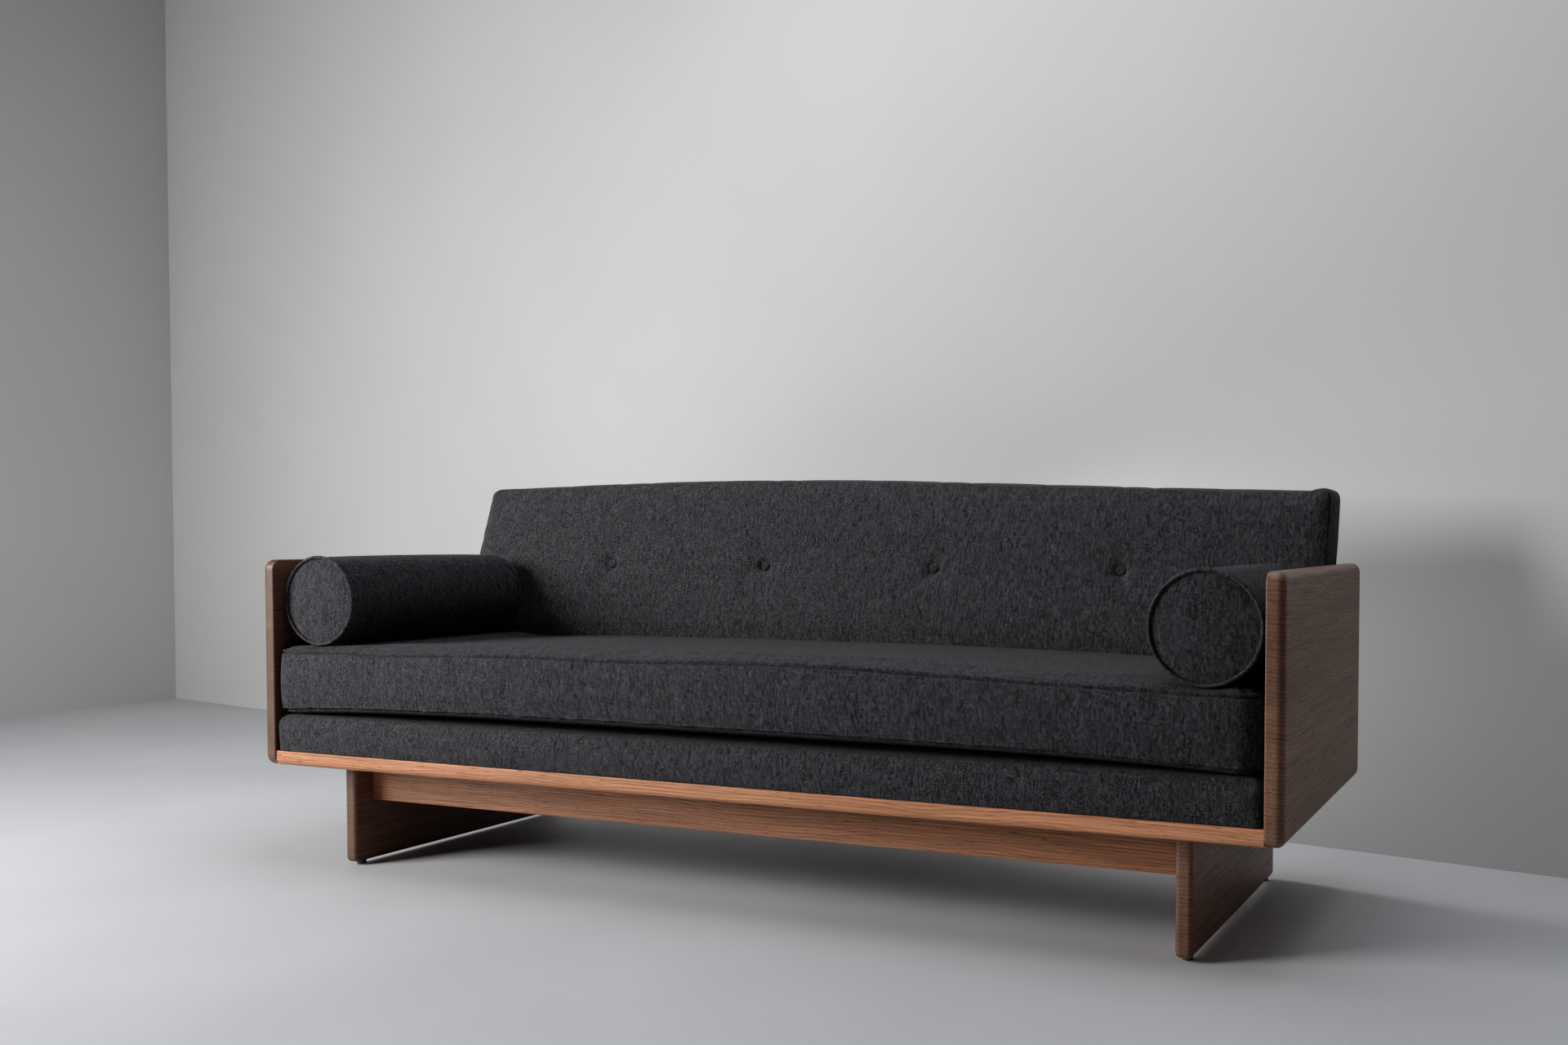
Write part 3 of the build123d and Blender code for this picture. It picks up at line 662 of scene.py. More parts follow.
def buildWoolWeave():
    # hopsack of a light heathered yarn and a near-black one, laid on by the way the surface faces
    tree, given, out = newGroup(
        "woolWeave", {"Pitch": 0.0021, "Turn": 0.0, "Seed": 0.0}, ("Light Yarn", "Fleck", "Heather", "Height")
    )
    place = objectPlace(tree)
    x, y, z = split(tree, place)
    facing = tree.nodes.new("ShaderNodeVectorMath")
    facing.operation = "ABSOLUTE"
    tree.links.new(tree.nodes.new("ShaderNodeNewGeometry").outputs["True Normal"], facing.inputs[0])
    ax, ay, az = split(tree, facing.outputs[0])
    toSide = times(tree, calc(tree, "GREATER_THAN", ax, ay), calc(tree, "GREATER_THAN", ax, az))
    toTop = times(tree, calc(tree, "GREATER_THAN", az, ay), minus(tree, 1.0, toSide))
    u = plus(tree, times(tree, x, minus(tree, 1.0, toSide)), times(tree, y, toSide))
    v = plus(tree, times(tree, z, minus(tree, 1.0, toTop)), times(tree, y, toTop))
    drift = noise(tree, place, 21.0, 2.0)
    drift2 = noise(tree, vectorCalc(tree, "ADD", place, (3.1, 1.7, 0.4)), 17.0, 2.0)
    u = plus(tree, u, times(tree, drift, 0.012))
    v = plus(tree, v, times(tree, drift2, 0.012))
    spin = tree.nodes.new("ShaderNodeVectorRotate")
    spin.rotation_type = "Z_AXIS"
    tree.links.new(join(tree, u, v), spin.inputs["Vector"])
    tree.links.new(given.outputs["Turn"], spin.inputs["Angle"])
    u, v = split(tree, spin.outputs[0])[:2]
    cu = calc(tree, "DIVIDE", u, given.outputs["Pitch"])
    cv = calc(tree, "DIVIDE", v, given.outputs["Pitch"])
    iu, iv = calc(tree, "FLOOR", cu), calc(tree, "FLOOR", cv)
    fu, fv = calc(tree, "FRACT", cu), calc(tree, "FRACT", cv)
    over = calc(tree, "FLOORED_MODULO", plus(tree, iu, iv), 2.0)
    across = plus(tree, times(tree, fu, over), times(tree, fv, minus(tree, 1.0, over)))
    crest = times(tree, times(tree, across, minus(tree, 1.0, across)), 4.0)
    along = plus(tree, times(tree, fv, over), times(tree, fu, minus(tree, 1.0, over)))
    arch = times(tree, times(tree, along, minus(tree, 1.0, along)), 4.0)
    random2 = tree.nodes.new("ShaderNodeTexWhiteNoise")
    random2.noise_dimensions = "3D"
    tree.links.new(join(tree, iu, iv, given.outputs["Seed"]), random2.inputs["Vector"])
    yarn = tree.nodes.new("ShaderNodeTexWhiteNoise")
    yarn.noise_dimensions = "3D"
    pick = plus(tree, times(tree, iu, over), times(tree, iv, minus(tree, 1.0, over)))
    stretch = plus(tree, times(tree, iv, over), times(tree, iu, minus(tree, 1.0, over)))
    tree.links.new(
        join(tree, pick, calc(tree, "FLOOR", calc(tree, "DIVIDE", stretch, 7.0)), over),
        yarn.inputs["Vector"]
    )
    fleck = between(tree, random2.outputs["Value"], 0.86, 1.0)
    heather = plus(tree, times(tree, yarn.outputs["Value"], 0.5), times(tree, random2.outputs["Value"], 0.5))
    fuzz = noise(tree, place, 1900.0, 2.0)
    height = plus(tree, times(tree, crest, plus(tree, times(tree, arch, 0.6), 0.4)), times(tree, fuzz, 0.5))
    for label, value in (("Light Yarn", over), ("Fleck", fleck), ("Heather", heather), ("Height", height)):
        tree.links.new(value, out.inputs[label])
    return tree


woolWeave = buildWoolWeave()
charcoalWool = {
    "light": (0.150, 0.143, 0.160), "dark": (0.0075, 0.0072, 0.0088), "fleck": (0.25, 0.245, 0.25),
    "pitch": 0.00150, "sheen": 0.07, "sheenRough": 0.35, "relief": 0.0004,
}


def woolMaterial(name, seed, turn=0.0, tint=1.0):
    material, tree, shader = newMaterial(name)
    weave = placeGroup(tree, woolWeave, {"Pitch": charcoalWool["pitch"], "Turn": turn, "Seed": seed})
    light, dark, fleck = (tuple(c * tint for c in charcoalWool[k]) for k in ("light", "dark", "fleck"))
    yarn = times(
        tree, between(tree, weave.outputs["Heather"], 0.15, 0.95, 0.05, 1.15), weave.outputs["Light Yarn"]
    )
    cloudy = noise(tree, objectPlace(tree), 70.0, 5.0, 0.65)
    yarn = times(tree, yarn, between(tree, cloudy, 0.3, 0.7, 0.75, 1.2))
    colour = blendColours(tree, yarn, dark, light)
    colour = blendColours(tree, times(tree, weave.outputs["Fleck"], 0.32), colour, fleck)
    # painted shade: the colour is darkened down to 0.35 in the low hollows of the weave, where shade falls
    # between the yarns
    weaveHollowShade = between(tree, weave.outputs["Height"], 0.1, 0.8, 0.35, 1.0)
    colour = blendColours(tree, 1.0, colour, join(tree, weaveHollowShade, weaveHollowShade, weaveHollowShade), "MULTIPLY")
    tree.links.new(colour, shader.inputs["Base Color"])
    tree.links.new(between(tree, weave.outputs["Height"], 0.0, 1.2, 0.96, 0.84), shader.inputs["Roughness"])
    shader.inputs["Specular IOR Level"].default_value = 0.25
    shader.inputs["Sheen Weight"].default_value = charcoalWool["sheen"]
    shader.inputs["Sheen Roughness"].default_value = charcoalWool["sheenRough"]
    shader.inputs["Sheen Tint"].default_value = (0.8, 0.8, 0.85, 1)
    bump(tree, shader, weave.outputs["Height"], charcoalWool["relief"], 0.8)
    return material


def threadMaterial(name, colour, darker, scale):
    # twisted sewing thread or twine
    material, tree, shader = newMaterial(name)
    twist = noise(tree, objectPlace(tree), scale, 2.0)
    tree.links.new(
        blendColours(tree, between(tree, twist, 0.35, 0.65), colour, darker), shader.inputs["Base Color"]
    )
    tree.links.new(between(tree, twist, 0.3, 0.7, 0.7, 0.9), shader.inputs["Roughness"])
    bump(tree, shader, twist, 0.0002, 0.6)
    return material


def wear(piece, material, body, slot):
    piece.data.materials.clear()
    piece.data.materials.append(material)
    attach(piece, body)
    return piece


dress("button_twine", threadMaterial("buttonTwine", (0.55, 0.48, 0.36), (0.36, 0.30, 0.21), 2600.0))
print("materials ready")


# seat mattress

seat = {
    "leftCorner": 0.007, "rightCorner": 0.042, "rearCorner": 0.020, "topRound": 0.012, "bottomRound": 0.022,
    "shrink": 0.003, "bulge": 0.0030, "crown": 0.014, "sag": 0.0022, "pucker": 0.0012,
    "topSeam": 0.008, "seamWide": 0.0021, "seamDeep": 0.0068,
    "lip": 0.0024, "lipAbove": 0.0046, "lipWide": 0.0028,
    "lowSeam": 0.010, "lowSeamRise": 0.018, "tuckUnder": 0.008, "welt": 0.0013, "weltHalf": 0.0014,
    "rim": 0.0062, "rimPlace": 0.042, "rimReach": 0.042, "rearDip": 0.005,
    "leftRise": 0.0045, "dent": {"left": 0.001, "right": 0.004},
}
seatLow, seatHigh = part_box("seat_cover")
seatHalfX = seatHigh.x


def seatTop(x):
    # the mattress is higher in the middle of its length
    radius = (seatHalfX ** 2 + seat["crown"] ** 2) / (2 * seat["crown"])
    return seatHigh.z - radius + np.sqrt(radius ** 2 - np.minimum(np.abs(x), seatHalfX) ** 2)


def seamPuckers(seed, along, distance, amount):
    # short soft gathers that die away from a seam
    wave = blanket(seed, 0.045)
    return amount * wave(along, along * 0.13) * np.exp(-np.abs(distance) / 0.016)


def leftRise(x):
    # the mattress stands a little fuller under the left bolster
    return seat["leftRise"] * smooth(-x, 0.74, 0.84)


def makeSeat():
    endHeight = float(seatTop(seatHalfX)) - seatLow.z
    hx = seatHalfX - seat["shrink"]
    hy = seatHigh.y - seat["shrink"]
    hz = endHeight / 2
    xs = spread(-hx, hx, 0.0055, 0.0155, 0.044)
    ys = spread(-hy, hy, 0.0055, 0.0165, 0.044)
    down = np.array([0, 0.0026, 0.0048, 0.0064, 0.008, 0.0096, 0.0116, 0.016, 0.022, 0.031, 0.042, 0.054])
    up = np.array([0, 0.004, 0.0075, 0.0088, 0.010, 0.0112, 0.0128, 0.017, 0.023, 0.031, 0.042, 0.054])
    zs = np.concatenate([-hz + up, (hz - down)[::-1]])
    grid, faces = blockGrid(xs, ys, zs)
    corner = np.where(
        grid[:, 1] > 0, seat["rearCorner"],
        np.where(grid[:, 0] > 0, seat["rightCorner"], seat["leftCorner"])
    )
    shaped = roundBlock(grid, (hx, hy, hz), corner, seat["topRound"], seat["bottomRound"])
    middle = seatLow.z + hz

    def lift(points, lay):
        # from the plain block to the crowned mattress; the low seam rises towards the middle at the front
        x, y, z = points.T
        share = (lay[:, 2] + hz) / (2 * hz)
        rise = seatTop(x) - float(seatTop(seatHalfX))
        frontness = smooth(-y, hy - 0.10, hy)
        lowRise = seat["lowSeamRise"] * (1 - (x / hx) ** 4) * frontness
        low = lowRise * np.clip(1 - (lay[:, 2] + hz) / 0.07, 0, 1) ** 1.2
        fromFront = y + hy
        inEnds = 1 - (np.abs(x) / hx) ** 6
        rim = seat["rim"] * np.exp(-((fromFront - seat["rimPlace"]) / seat["rimReach"]) ** 2) * inEnds
        rim = rim * smooth(share, 0.93, 1.0)
        full = 0.0085 * np.exp(-((x - 0.20) / 0.27) ** 2) + 0.004 * np.exp(-((x + 0.42) / 0.16) ** 2)
        full = full * (1 - smooth(fromFront, 0.04, 0.30)) * share ** 1.5 + leftRise(x) * share
        betweenBolsters = 1 - smooth(np.abs(x), 0.72, 0.84)
        dip = seat["rearDip"] * smooth(y, -0.06, 0.10) * betweenBolsters * smooth(share, 0.6, 1.0)
        return np.stack([x, y, middle + z + rise * share ** 1.1 + low + rim + full - dip], 1)

    piece = makeMesh("seatMattress", lift(shaped, grid), faces, grid)
    depth = hz - grid[:, 2]
    height = grid[:, 2] + hz
    wall = (np.abs(grid[:, 0]) > hx - 1e-6) | (np.abs(grid[:, 1]) > hy - 1e-6)
    held = np.where(wall & (np.abs(depth - seat["topSeam"]) < 0.0008), 0.9, 0.0)
    held = np.where(wall & (np.abs(height - seat["lowSeam"]) < 0.001), 0.9, held)
    held = np.where((height < 1e-6), 0.85, held)
    puff(piece, 4.0, 0.006, 12.0, 0.004, held)
    subdivided(piece)
    lay, points, normals = layOf(piece), pointsOf(piece), normalsOf(piece)
    x, y = lay[:, 0], lay[:, 1]
    depth, height = hz - lay[:, 2], lay[:, 2] + hz
    outer = np.maximum(np.abs(x) / hx, np.abs(y) / hy) > 0.9999
    edge = np.where(outer, 1.0, 0.0)
    around = np.where(np.abs(x) / hx > np.abs(y) / hy, y + 3.0, x)
    push = np.zeros(len(x))
    push += edge * groove(depth - seat["topSeam"], seat["seamWide"], seat["seamDeep"])
    aboveSeam = depth - seat["topSeam"] + seat["lipAbove"]
    push += edge * seat["lip"] * np.exp(-(aboveSeam / seat["lipWide"]) ** 2)
    overWelt = (height - seat["lowSeam"] - seat["weltHalf"]) / seat["weltHalf"]
    push += edge * seat["welt"] * np.exp(-overWelt ** 2)
    push -= edge * seat["tuckUnder"] * smooth(seat["lowSeam"] - height, -0.0004, 0.0035)
    push += edge * seamPuckers(3, around, depth - seat["topSeam"], seat["pucker"])
    push += edge * seamPuckers(4, around, height - seat["lowSeam"], seat["pucker"] * 1.8)
    push += edge * seat["bulge"] * np.sin(np.clip(height / (2 * hz), 0, 1) * math.pi)
    onTop = (depth < 0.0005) & ~outer
    toEdge = np.minimum(hx - np.abs(x), hy - np.abs(y))
    push += np.where(onTop, seamPuckers(6, around, toEdge, seat["pucker"]), 0)
    push += np.where(onTop, seat["sag"] * blanket(11, 0.55)(x, y) * smooth(toEdge, 0.02, 0.12), 0)
    push += edge * 0.0012 * blanket(12, 0.30)(around, lay[:, 2] * 2)
    points = points + normals * push[:, None]
    # dents where the bolsters lie, and a flat underside where it lies on the lower pad
    for name in ("left", "right"):
        lo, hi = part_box(name + "_bolster_cover")
        cx = (lo.x + hi.x) / 2
        near = np.exp(-((points[:, 0] - cx) / 0.045) ** 2) * smooth(points[:, 1], lo.y - 0.012, lo.y + 0.02)
        near = near * (1 - smooth(points[:, 1], hi.y - 0.02, hi.y + 0.02))
        points[:, 2] -= np.where(lay[:, 2] > hz - 0.03, seat["dent"][name] * near, 0)
    # under the bolsters and the back the top stays low enough for them
    openTop = (1 - smooth(np.abs(points[:, 0]), 0.70, 0.82)) * (1 - smooth(points[:, 1], 0.0, 0.10))
    limit = seatTop(points[:, 0]) + leftRise(points[:, 0]) + 0.0035 + 0.012 * openTop
    points[:, 2] = np.where(lay[:, 2] > 0, np.minimum(points[:, 2], limit), points[:, 2])
    points[:, 2] = np.maximum(points[:, 2], seatLow.z)
    points[:, 0] = np.clip(points[:, 0], -seatHalfX - 0.003, seatHalfX + 0.003)
    setPoints(piece, points)
    wear(piece, woolMaterial("seatWool", 1.0), "seat", "charcoal_wool")
    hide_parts("seat_cover", "seat_core")
    return piece


seatPiece = makeSeat()
print("seat mattress made")


# lower pad

pad = {
    "corner": 0.014, "topRound": 0.019, "bottomRound": 0.003, "shrink": 0.0015, "rim": 0.0030,
    "bulge": 0.0025, "pucker": 0.0007
}
padLow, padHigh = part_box("pad_cover")


def makePad():
    hx, hy = padHigh.x - pad["shrink"], padHigh.y - pad["shrink"]
    hz = (padHigh.z - padLow.z) / 2
    xs = spread(-hx, hx, 0.0045, 0.0155, 0.027)
    ys = spread(-hy, hy, 0.0045, 0.0185, 0.027)
    up, down = np.array([0, 0.002, 0.005, 0.012, 0.022]), np.array(
        [0.036, 0.027, 0.019, 0.013, 0.0085, 0.0045, 0]
    )
    zs = np.concatenate([-hz + up, hz - down])
    grid, faces = blockGrid(xs, ys, zs)
    shaped = roundBlock(grid, (hx, hy, hz), pad["corner"], pad["topRound"], pad["bottomRound"])
    x, y, z = shaped.T
    upper = smooth(grid[:, 2], 0, hz)
    rim = np.exp(-((np.abs(y) - (hy - 0.014)) / 0.016) ** 2) * np.where(y < 0, 1 - np.abs(x / hx) ** 8, 0)
    shaped = np.stack([x, y, padLow.z + hz + z + pad["rim"] * rim * upper], 1)
    piece = makeMesh("lowerPad", shaped, faces, grid)
    held = np.where(grid[:, 2] < -hz + 1e-6, 1.0, 0.0)
    held = np.where(grid[:, 2] > hz - 1e-6, np.maximum(held, 0.8), held)
    puff(piece, 4.0, 0.003, 12.0, 0.002, held)
    subdivided(piece)
    lay, points, normals = layOf(piece), pointsOf(piece), normalsOf(piece)
    x, y, z = lay.T
    outer = np.where(np.maximum(np.abs(x) / hx, np.abs(y) / hy) > 0.9999, 1.0, 0.0)
    around = np.where(np.abs(x) / hx > np.abs(y) / hy, y + 3.0, x)
    push = outer * pad["bulge"] * np.sin(np.clip((z + hz) / (2 * hz), 0, 1) * math.pi)
    push += outer * 0.0009 * blanket(21, 0.35)(around, z * 2)
    push += outer * seamPuckers(22, around, z + hz, pad["pucker"] * 1.5)
    points = points + normals * push[:, None]
    points[:, 2] = np.clip(points[:, 2], padLow.z, padHigh.z - 0.0002)
    points[:, 0] = np.clip(points[:, 0], padLow.x - 0.0015, padHigh.x + 0.0015)
    setPoints(piece, points)
    wear(piece, woolMaterial("padWool", 2.0), "frame", "charcoal_wool")
    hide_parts("pad_cover", "pad_foam")
    return piece


makePad()
print("lower pad made")


# back

back = {
    "corner": 0.020, "faceRound": 0.011, "rearRound": 0.012, "shrink": 0.002, "seam": 0.006, "bulge": 0.004,
    "crown": 0.006,
    "dimple": 0.0062, "dimpleReach": 0.034, "pit": 0.0062, "pucker": 0.0009, "lean": -0.011, "ear": 0.011,
    "footHeight": 0.440, "footPlace": 0.131, "thick": 0.120, "topEnd": 0.7615, "topMiddle": 0.784,
}
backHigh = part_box("back_cover")[1]
backHalfX = backHigh.x


def faceY(z):
    return back["footPlace"] + slope * (z - back["footHeight"])


def backTop(x):
    share = np.clip(np.abs(x) / backHalfX, 0, 1)
    fall = back["topMiddle"] - (back["topMiddle"] - back["topEnd"]) * share ** 1.6
    lean = back["lean"] * np.sin(np.clip(x / 0.75, -1, 1) * math.pi / 2)
    ear = back["ear"] * np.exp(-((backHalfX - 0.004 - np.abs(x)) / 0.034) ** 2)
    return fall + lean + ear * np.where(x > 0, 1.0, 0.4)


def backFoot(x):
    return seatTop(x) + 0.0016 - seat["rearDip"] * (1 - smooth(np.abs(x), 0.72, 0.84))


def backPoint(x, z, t):
    # t is the level distance behind the face
    return np.stack([x, faceY(z) + t, z], 1)


buttonSpots = []
for number in (1, 2, 3, 4):
    lo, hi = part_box("back_button_%d" % number)
    buttonSpots.append((lo + hi) / 2)


def thinned(lines):
    # sorted grid lines with the ones that crowd each other left out
    lines = np.unique(np.round(lines, 4))
    keep = [lines[0]]
    for value in lines[1:]:
        if value - keep[-1] > 0.0036:
            keep.append(value)
    keep[-1] = lines[-1]
    return np.array(keep)


def makeBack():
    hx = backHalfX - back["shrink"]
    hb = 0.16
    ht = back["thick"] / 2
    xs = list(spread(-hx, hx, 0.0055, 0.0155, 0.04))
    for spot in buttonSpots:
        xs += list(spot.x + np.linspace(-0.036, 0.036, 13))
    xs = thinned(xs)
    bs = list(spread(-hb, hb, 0.0055, 0.0135, 0.033))
    spotB = (0.606 - 0.449) / (0.772 - 0.449) * 2 * hb - hb
    bs += list(spotB + np.linspace(-0.036, 0.036, 13))
    bs = thinned(bs)
    down = np.array([0, 0.0025, 0.0048, 0.006, 0.0072, 0.010, 0.016, 0.026, 0.040, 0.056])
    ts = np.concatenate([-ht + down, (ht - down)[::-1]])
    grid, faces = blockGrid(xs, bs, ts)
    shaped = roundBlock(grid, (hx, hb, ht), back["corner"], back["faceRound"], back["rearRound"])

    def stand(points):
        x, b, t = points.T
        bottom = backFoot(x)
        top = backTop(x)
        z = bottom + (b + hb) / (2 * hb) * (top - bottom)
        return backPoint(x, z, ht - t)

    piece = makeMesh("backCushion", stand(shaped), faces, grid)
    depth = ht - grid[:, 2]
    wall = (np.abs(grid[:, 0]) > hx - 1e-6) | (np.abs(grid[:, 1]) > hb - 1e-6)
    held = np.where(wall & (np.abs(depth - back["seam"]) < 0.001), 0.9, 0.0)
    held = np.where(wall & (np.abs(2 * ht - depth - back["seam"]) < 0.001), 0.9, held)
    held = np.where(grid[:, 2] < -ht + 1e-6, 1.0, held)
    puff(piece, 4.0, 0.006, 12.0, 0.004, held)
    subdivided(piece)
    lay, points, normals = layOf(piece), pointsOf(piece), normalsOf(piece)
    x, b = lay[:, 0], lay[:, 1]
    depth = ht - lay[:, 2]
    outer = np.where(np.maximum(np.abs(x) / hx, np.abs(b) / hb) > 0.9999, 1.0, 0.0)
    around = np.where(np.abs(x) / hx > np.abs(b) / hb, b + 3.0, x)
    onFace = np.where(depth < 0.0004, 1.0, 0.0) * (1 - outer)
    toEdge = np.minimum(hx - np.abs(x), hb - np.abs(b))
    push = outer * groove(depth - back["seam"], 0.0017, 0.0026)
    push += outer * groove(2 * ht - depth - back["seam"], 0.0017, 0.0024)
    push += outer * seamPuckers(31, around, depth - back["seam"], back["pucker"])
    share = np.where(np.abs(b) / hb > 0.9999, 0.35, 1.0)
    push += outer * back["bulge"] * np.sin(np.clip(depth / (2 * ht), 0, 1) * math.pi) * share
    push += onFace * seamPuckers(32, around, toEdge, back["pucker"])
    push += onFace * back["crown"] * smooth(toEdge, 0.0, 0.10) * 0.6
    push += onFace * 0.0016 * blanket(33, 0.4)(x, b) * smooth(toEdge, 0.01, 0.08)
    for spot in buttonSpots:
        away = points - np.array(spot)
        far = np.hypot(away[:, 0], away[:, 2] / math.cos(math.atan(slope)))
        turn = np.arctan2(away[:, 2], away[:, 0])
        folds = 1 + 0.16 * np.cos(4 * turn + spot.x * 9) * smooth(far, 0.006, 0.02)
        drawn = np.exp(-(far / (back["dimpleReach"] * folds)) ** 1.5)
        push -= onFace * (back["dimple"] + back["crown"] * 0.6) * drawn
        push -= onFace * back["pit"] * np.exp(-(far / 0.0145) ** 4)
    points = points + normals * push[:, None]
    rear = faceY(points[:, 2]) + back["thick"]
    points[:, 1] = np.minimum(points[:, 1], rear)
    points[:, 2] = np.maximum(points[:, 2], backFoot(points[:, 0]) - 0.0008)
    setPoints(piece, points)
    wear(piece, woolMaterial("backWool", 3.0), "back", "charcoal_wool")
    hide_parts("back_cover", "back_foam")
    return piece


makeBack()
print("back made")


# bolsters

bolster = {
    "piping": 0.0027, "pipingIn": 0.0004, "dome": 0.0065, "belly": 0.0022, "pucker": 0.0008, "weld": 0.0004,
    "settle": {"left": (0.0, 0.0082), "right": (-0.004, 0.0020)}, "stout": {"left": 1.0, "right": 1.022},
    "drift": {"left": 0.012, "right": 0.0},
}
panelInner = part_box("right_side_panel")[0].x - 0.0015


def makeBolster(name):
    lo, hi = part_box(name + "_bolster_cover")
    shiftX, shiftZ = bolster["settle"][name]
    cx, cz = (lo.x + hi.x) / 2 + shiftX, (lo.z + hi.z) / 2 + shiftZ
    radius = (hi.z - lo.z) / 2 * bolster["stout"][name]
    length = hi.y - lo.y
    turns = 168
    angle = np.linspace(0, 2 * math.pi, turns, endpoint=False)
    rings = []
    # disc rings from the middle out, then the barrel, then the far disc:
    # each is (distance from the axis, place along it, kind)
    discs = [
        radius - d
        for d in (0.082, 0.072, 0.062, 0.052, 0.042, 0.032, 0.024, 0.017, 0.013, 0.0098, 0.0076, 0.0058)
    ]
    for r in discs:
        rings.append((r, 0.0, 0.0))
    near = np.array([0.0028, 0.0052, 0.008, 0.012, 0.018, 0.026])
    along = np.concatenate([near, np.linspace(0.036, length - 0.036, 40), length - near[::-1]])
    for s in along:
        rings.append((radius - 0.0035, s, 1.0))
    for r in discs[::-1]:
        rings.append((r, length, 2.0))
    points, lay = [], []
    puckers = blanket(41 if name == "left" else 42, 0.05)
    for r, s, kind in rings:
        share = s / length
        if kind == 1.0:
            out = r + bolster["belly"] * math.sin(share * math.pi) ** 0.6
            toEnd = min(s, length - s)
            out = out + bolster["pucker"] * puckers(angle * radius, s) * math.exp(-toEnd / 0.02)
            place = lo.y + s
        else:
            out = np.full(turns, r)
            swell = bolster["dome"] * (1 - (r / (radius - 0.0055)) ** 2) ** 0.6 - 0.0012
            place = lo.y + (0.0050 - swell if kind == 0.0 else length - 0.0050 + swell)
            place = place + (0.0006 if kind == 0.0 else -0.0006) * puckers(angle * r, r) * (r / 0.0865) ** 4
        across, up = cx + out * np.cos(angle), cz + out * np.sin(angle)
        points.append(np.stack([across, np.broadcast_to(place, turns), up], 1))
        lay.append(np.stack([np.full(turns, kind), np.full(turns, s), angle], 1))
    tip = bolster["dome"] - 0.0062
    points.append(np.array([[cx, lo.y - tip, cz], [cx, hi.y + tip, cz]]))
    lay.append(np.zeros((2, 3)))
    points, lay = np.concatenate(points), np.concatenate(lay)
    points[:, 0] += bolster["drift"][name] * (points[:, 1] - lo.y) / length
    faces = bandFaces(len(rings), turns)
    last = (len(rings) - 1) * turns
    first, end = len(rings) * turns, len(rings) * turns + 1
    for k in range(turns):
        m = (k + 1) % turns
        faces.append((first, m, k))
        faces.append((end, last + k, last + m))
    faces = [f[::-1] for f in faces]
    piece = makeMesh(name + "Bolster", points, faces, lay)
    fromAxis = np.hypot(
        points[:, 0] - cx - bolster["drift"][name] * (points[:, 1] - lo.y) / length, points[:, 2] - cz
    )
    held = np.where((lay[:, 0] != 1.0) & (fromAxis > radius - 0.009), 1.0, 0.0)
    puff(piece, 3.0, 0.003, 14.0, 0.003, held)
    subdivided(piece)
    points = pointsOf(piece)
    # it settles into the mattress: the underside takes the shape of what it lies on
    tree = BVHTree.FromPolygons(
        [v.co for v in seatPiece.data.vertices], [p.vertices for p in seatPiece.data.polygons]
    )
    low = points[:, 2] < cz - radius * 0.7
    for i in np.nonzero(low)[0]:
        x, y, z = points[i]
        hit = tree.ray_cast(Vector((x, y, cz)), Vector((0, 0, -1)))[0]
        if hit is not None:
            points[i, 2] = max(z, hit.z + bolster["weld"])
    points[:, 0] = np.clip(points[:, 0], -panelInner, panelInner)
    setPoints(piece, points)
    body = name + "_bolster"
    wear(
        piece, woolMaterial(name + "BolsterWool", 5.0 + side(name), 0.06 * side(name)), body,
        "charcoal_wool"
    )
    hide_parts(name + "_bolster_cover", name + "_bolster_core")
    pipingWool = woolMaterial(name + "PipingWool", 8.0 + side(name), 0.78, 1.25)
    for end, place in (("Front", lo.y + 0.0030), ("Rear", hi.y - 0.0030)):
        ring = np.linspace(0, 2 * math.pi, 260, endpoint=False)
        wobble = 0.0004 * blanket(51 if end == "Front" else 52, 0.06)(ring * radius, ring)
        reach = radius - bolster["piping"] - bolster["pipingIn"] * 0.2 + wobble
        middle = cx + bolster["drift"][name] * (place - lo.y) / length
        path = np.stack([middle + reach * np.cos(ring), place + wobble, cz + reach * np.sin(ring)], 1)
        under = path[:, 2] < cz - radius * 0.7
        for i in np.nonzero(under)[0]:
            hit = tree.ray_cast(Vector((path[i, 0], path[i, 1], cz)), Vector((0, 0, -1)))[0]
            if hit is not None:
                path[i, 2] = max(path[i, 2], hit.z + bolster["weld"] + bolster["piping"])
        cord = tube(name + "Piping" + end, path, bolster["piping"] + wobble * 0.5, 14, True)
        wear(cord, pipingWool, body, "charcoal_wool")
    return piece


leftBolster = makeBolster("left")
rightBolster = makeBolster("right")
print("bolsters made")


# covered buttons

button = {"radius": 0.0112, "height": 0.0078}


def makeButton(number, spot):
    normal = Vector((0, -1, slope)).normalized()
    up = Vector((1, 0, 0)).cross(normal) * -1
    base = spot + normal * 0.0006
    turns = 36
    profile = [
        (0.0, 0.0), (0.55, 0.0), (0.86, 0.02), (0.97, 0.14), (1.0, 0.32), (0.985, 0.5), (0.93, 0.68),
        (0.82, 0.83), (0.66, 0.93), (0.45, 0.985), (0.22, 1.0)
    ]
    points = []
    for r, h in profile[1:]:
        for k in range(turns):
            a = 2 * math.pi * k / turns
            fold = 1 - 0.03 * math.cos(9 * a) * (1 - h)
            reach = button["radius"] * r * fold
            sideways = Vector((1, 0, 0)) * reach * math.cos(a) + up * reach * math.sin(a)
            points.append(base + sideways + normal * button["height"] * h)
    levels = len(profile) - 1
    faces = bandFaces(levels, turns)
    points.append(base)
    points.append(base + normal * button["height"] * 1.004)
    for k in range(turns):
        m = (k + 1) % turns
        faces.append((len(points) - 2, m, k))
        faces.append((len(points) - 1, (levels - 1) * turns + k, (levels - 1) * turns + m))
    piece = makeMesh("coveredButton%d" % number, [tuple(p) for p in points], faces)
    subdivided(piece)
    wear(
        piece, woolMaterial("buttonWool%d" % number, 10.0 + number, 0.3 * number, 0.9), "back",
        "charcoal_wool"
    )
    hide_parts("back_button_%d" % number)


for number, spot in enumerate(buttonSpots, 1):
    makeButton(number, spot)
print("buttons made")


# zips

zipPitch, zipToothWide = 0.0028, 0.0022


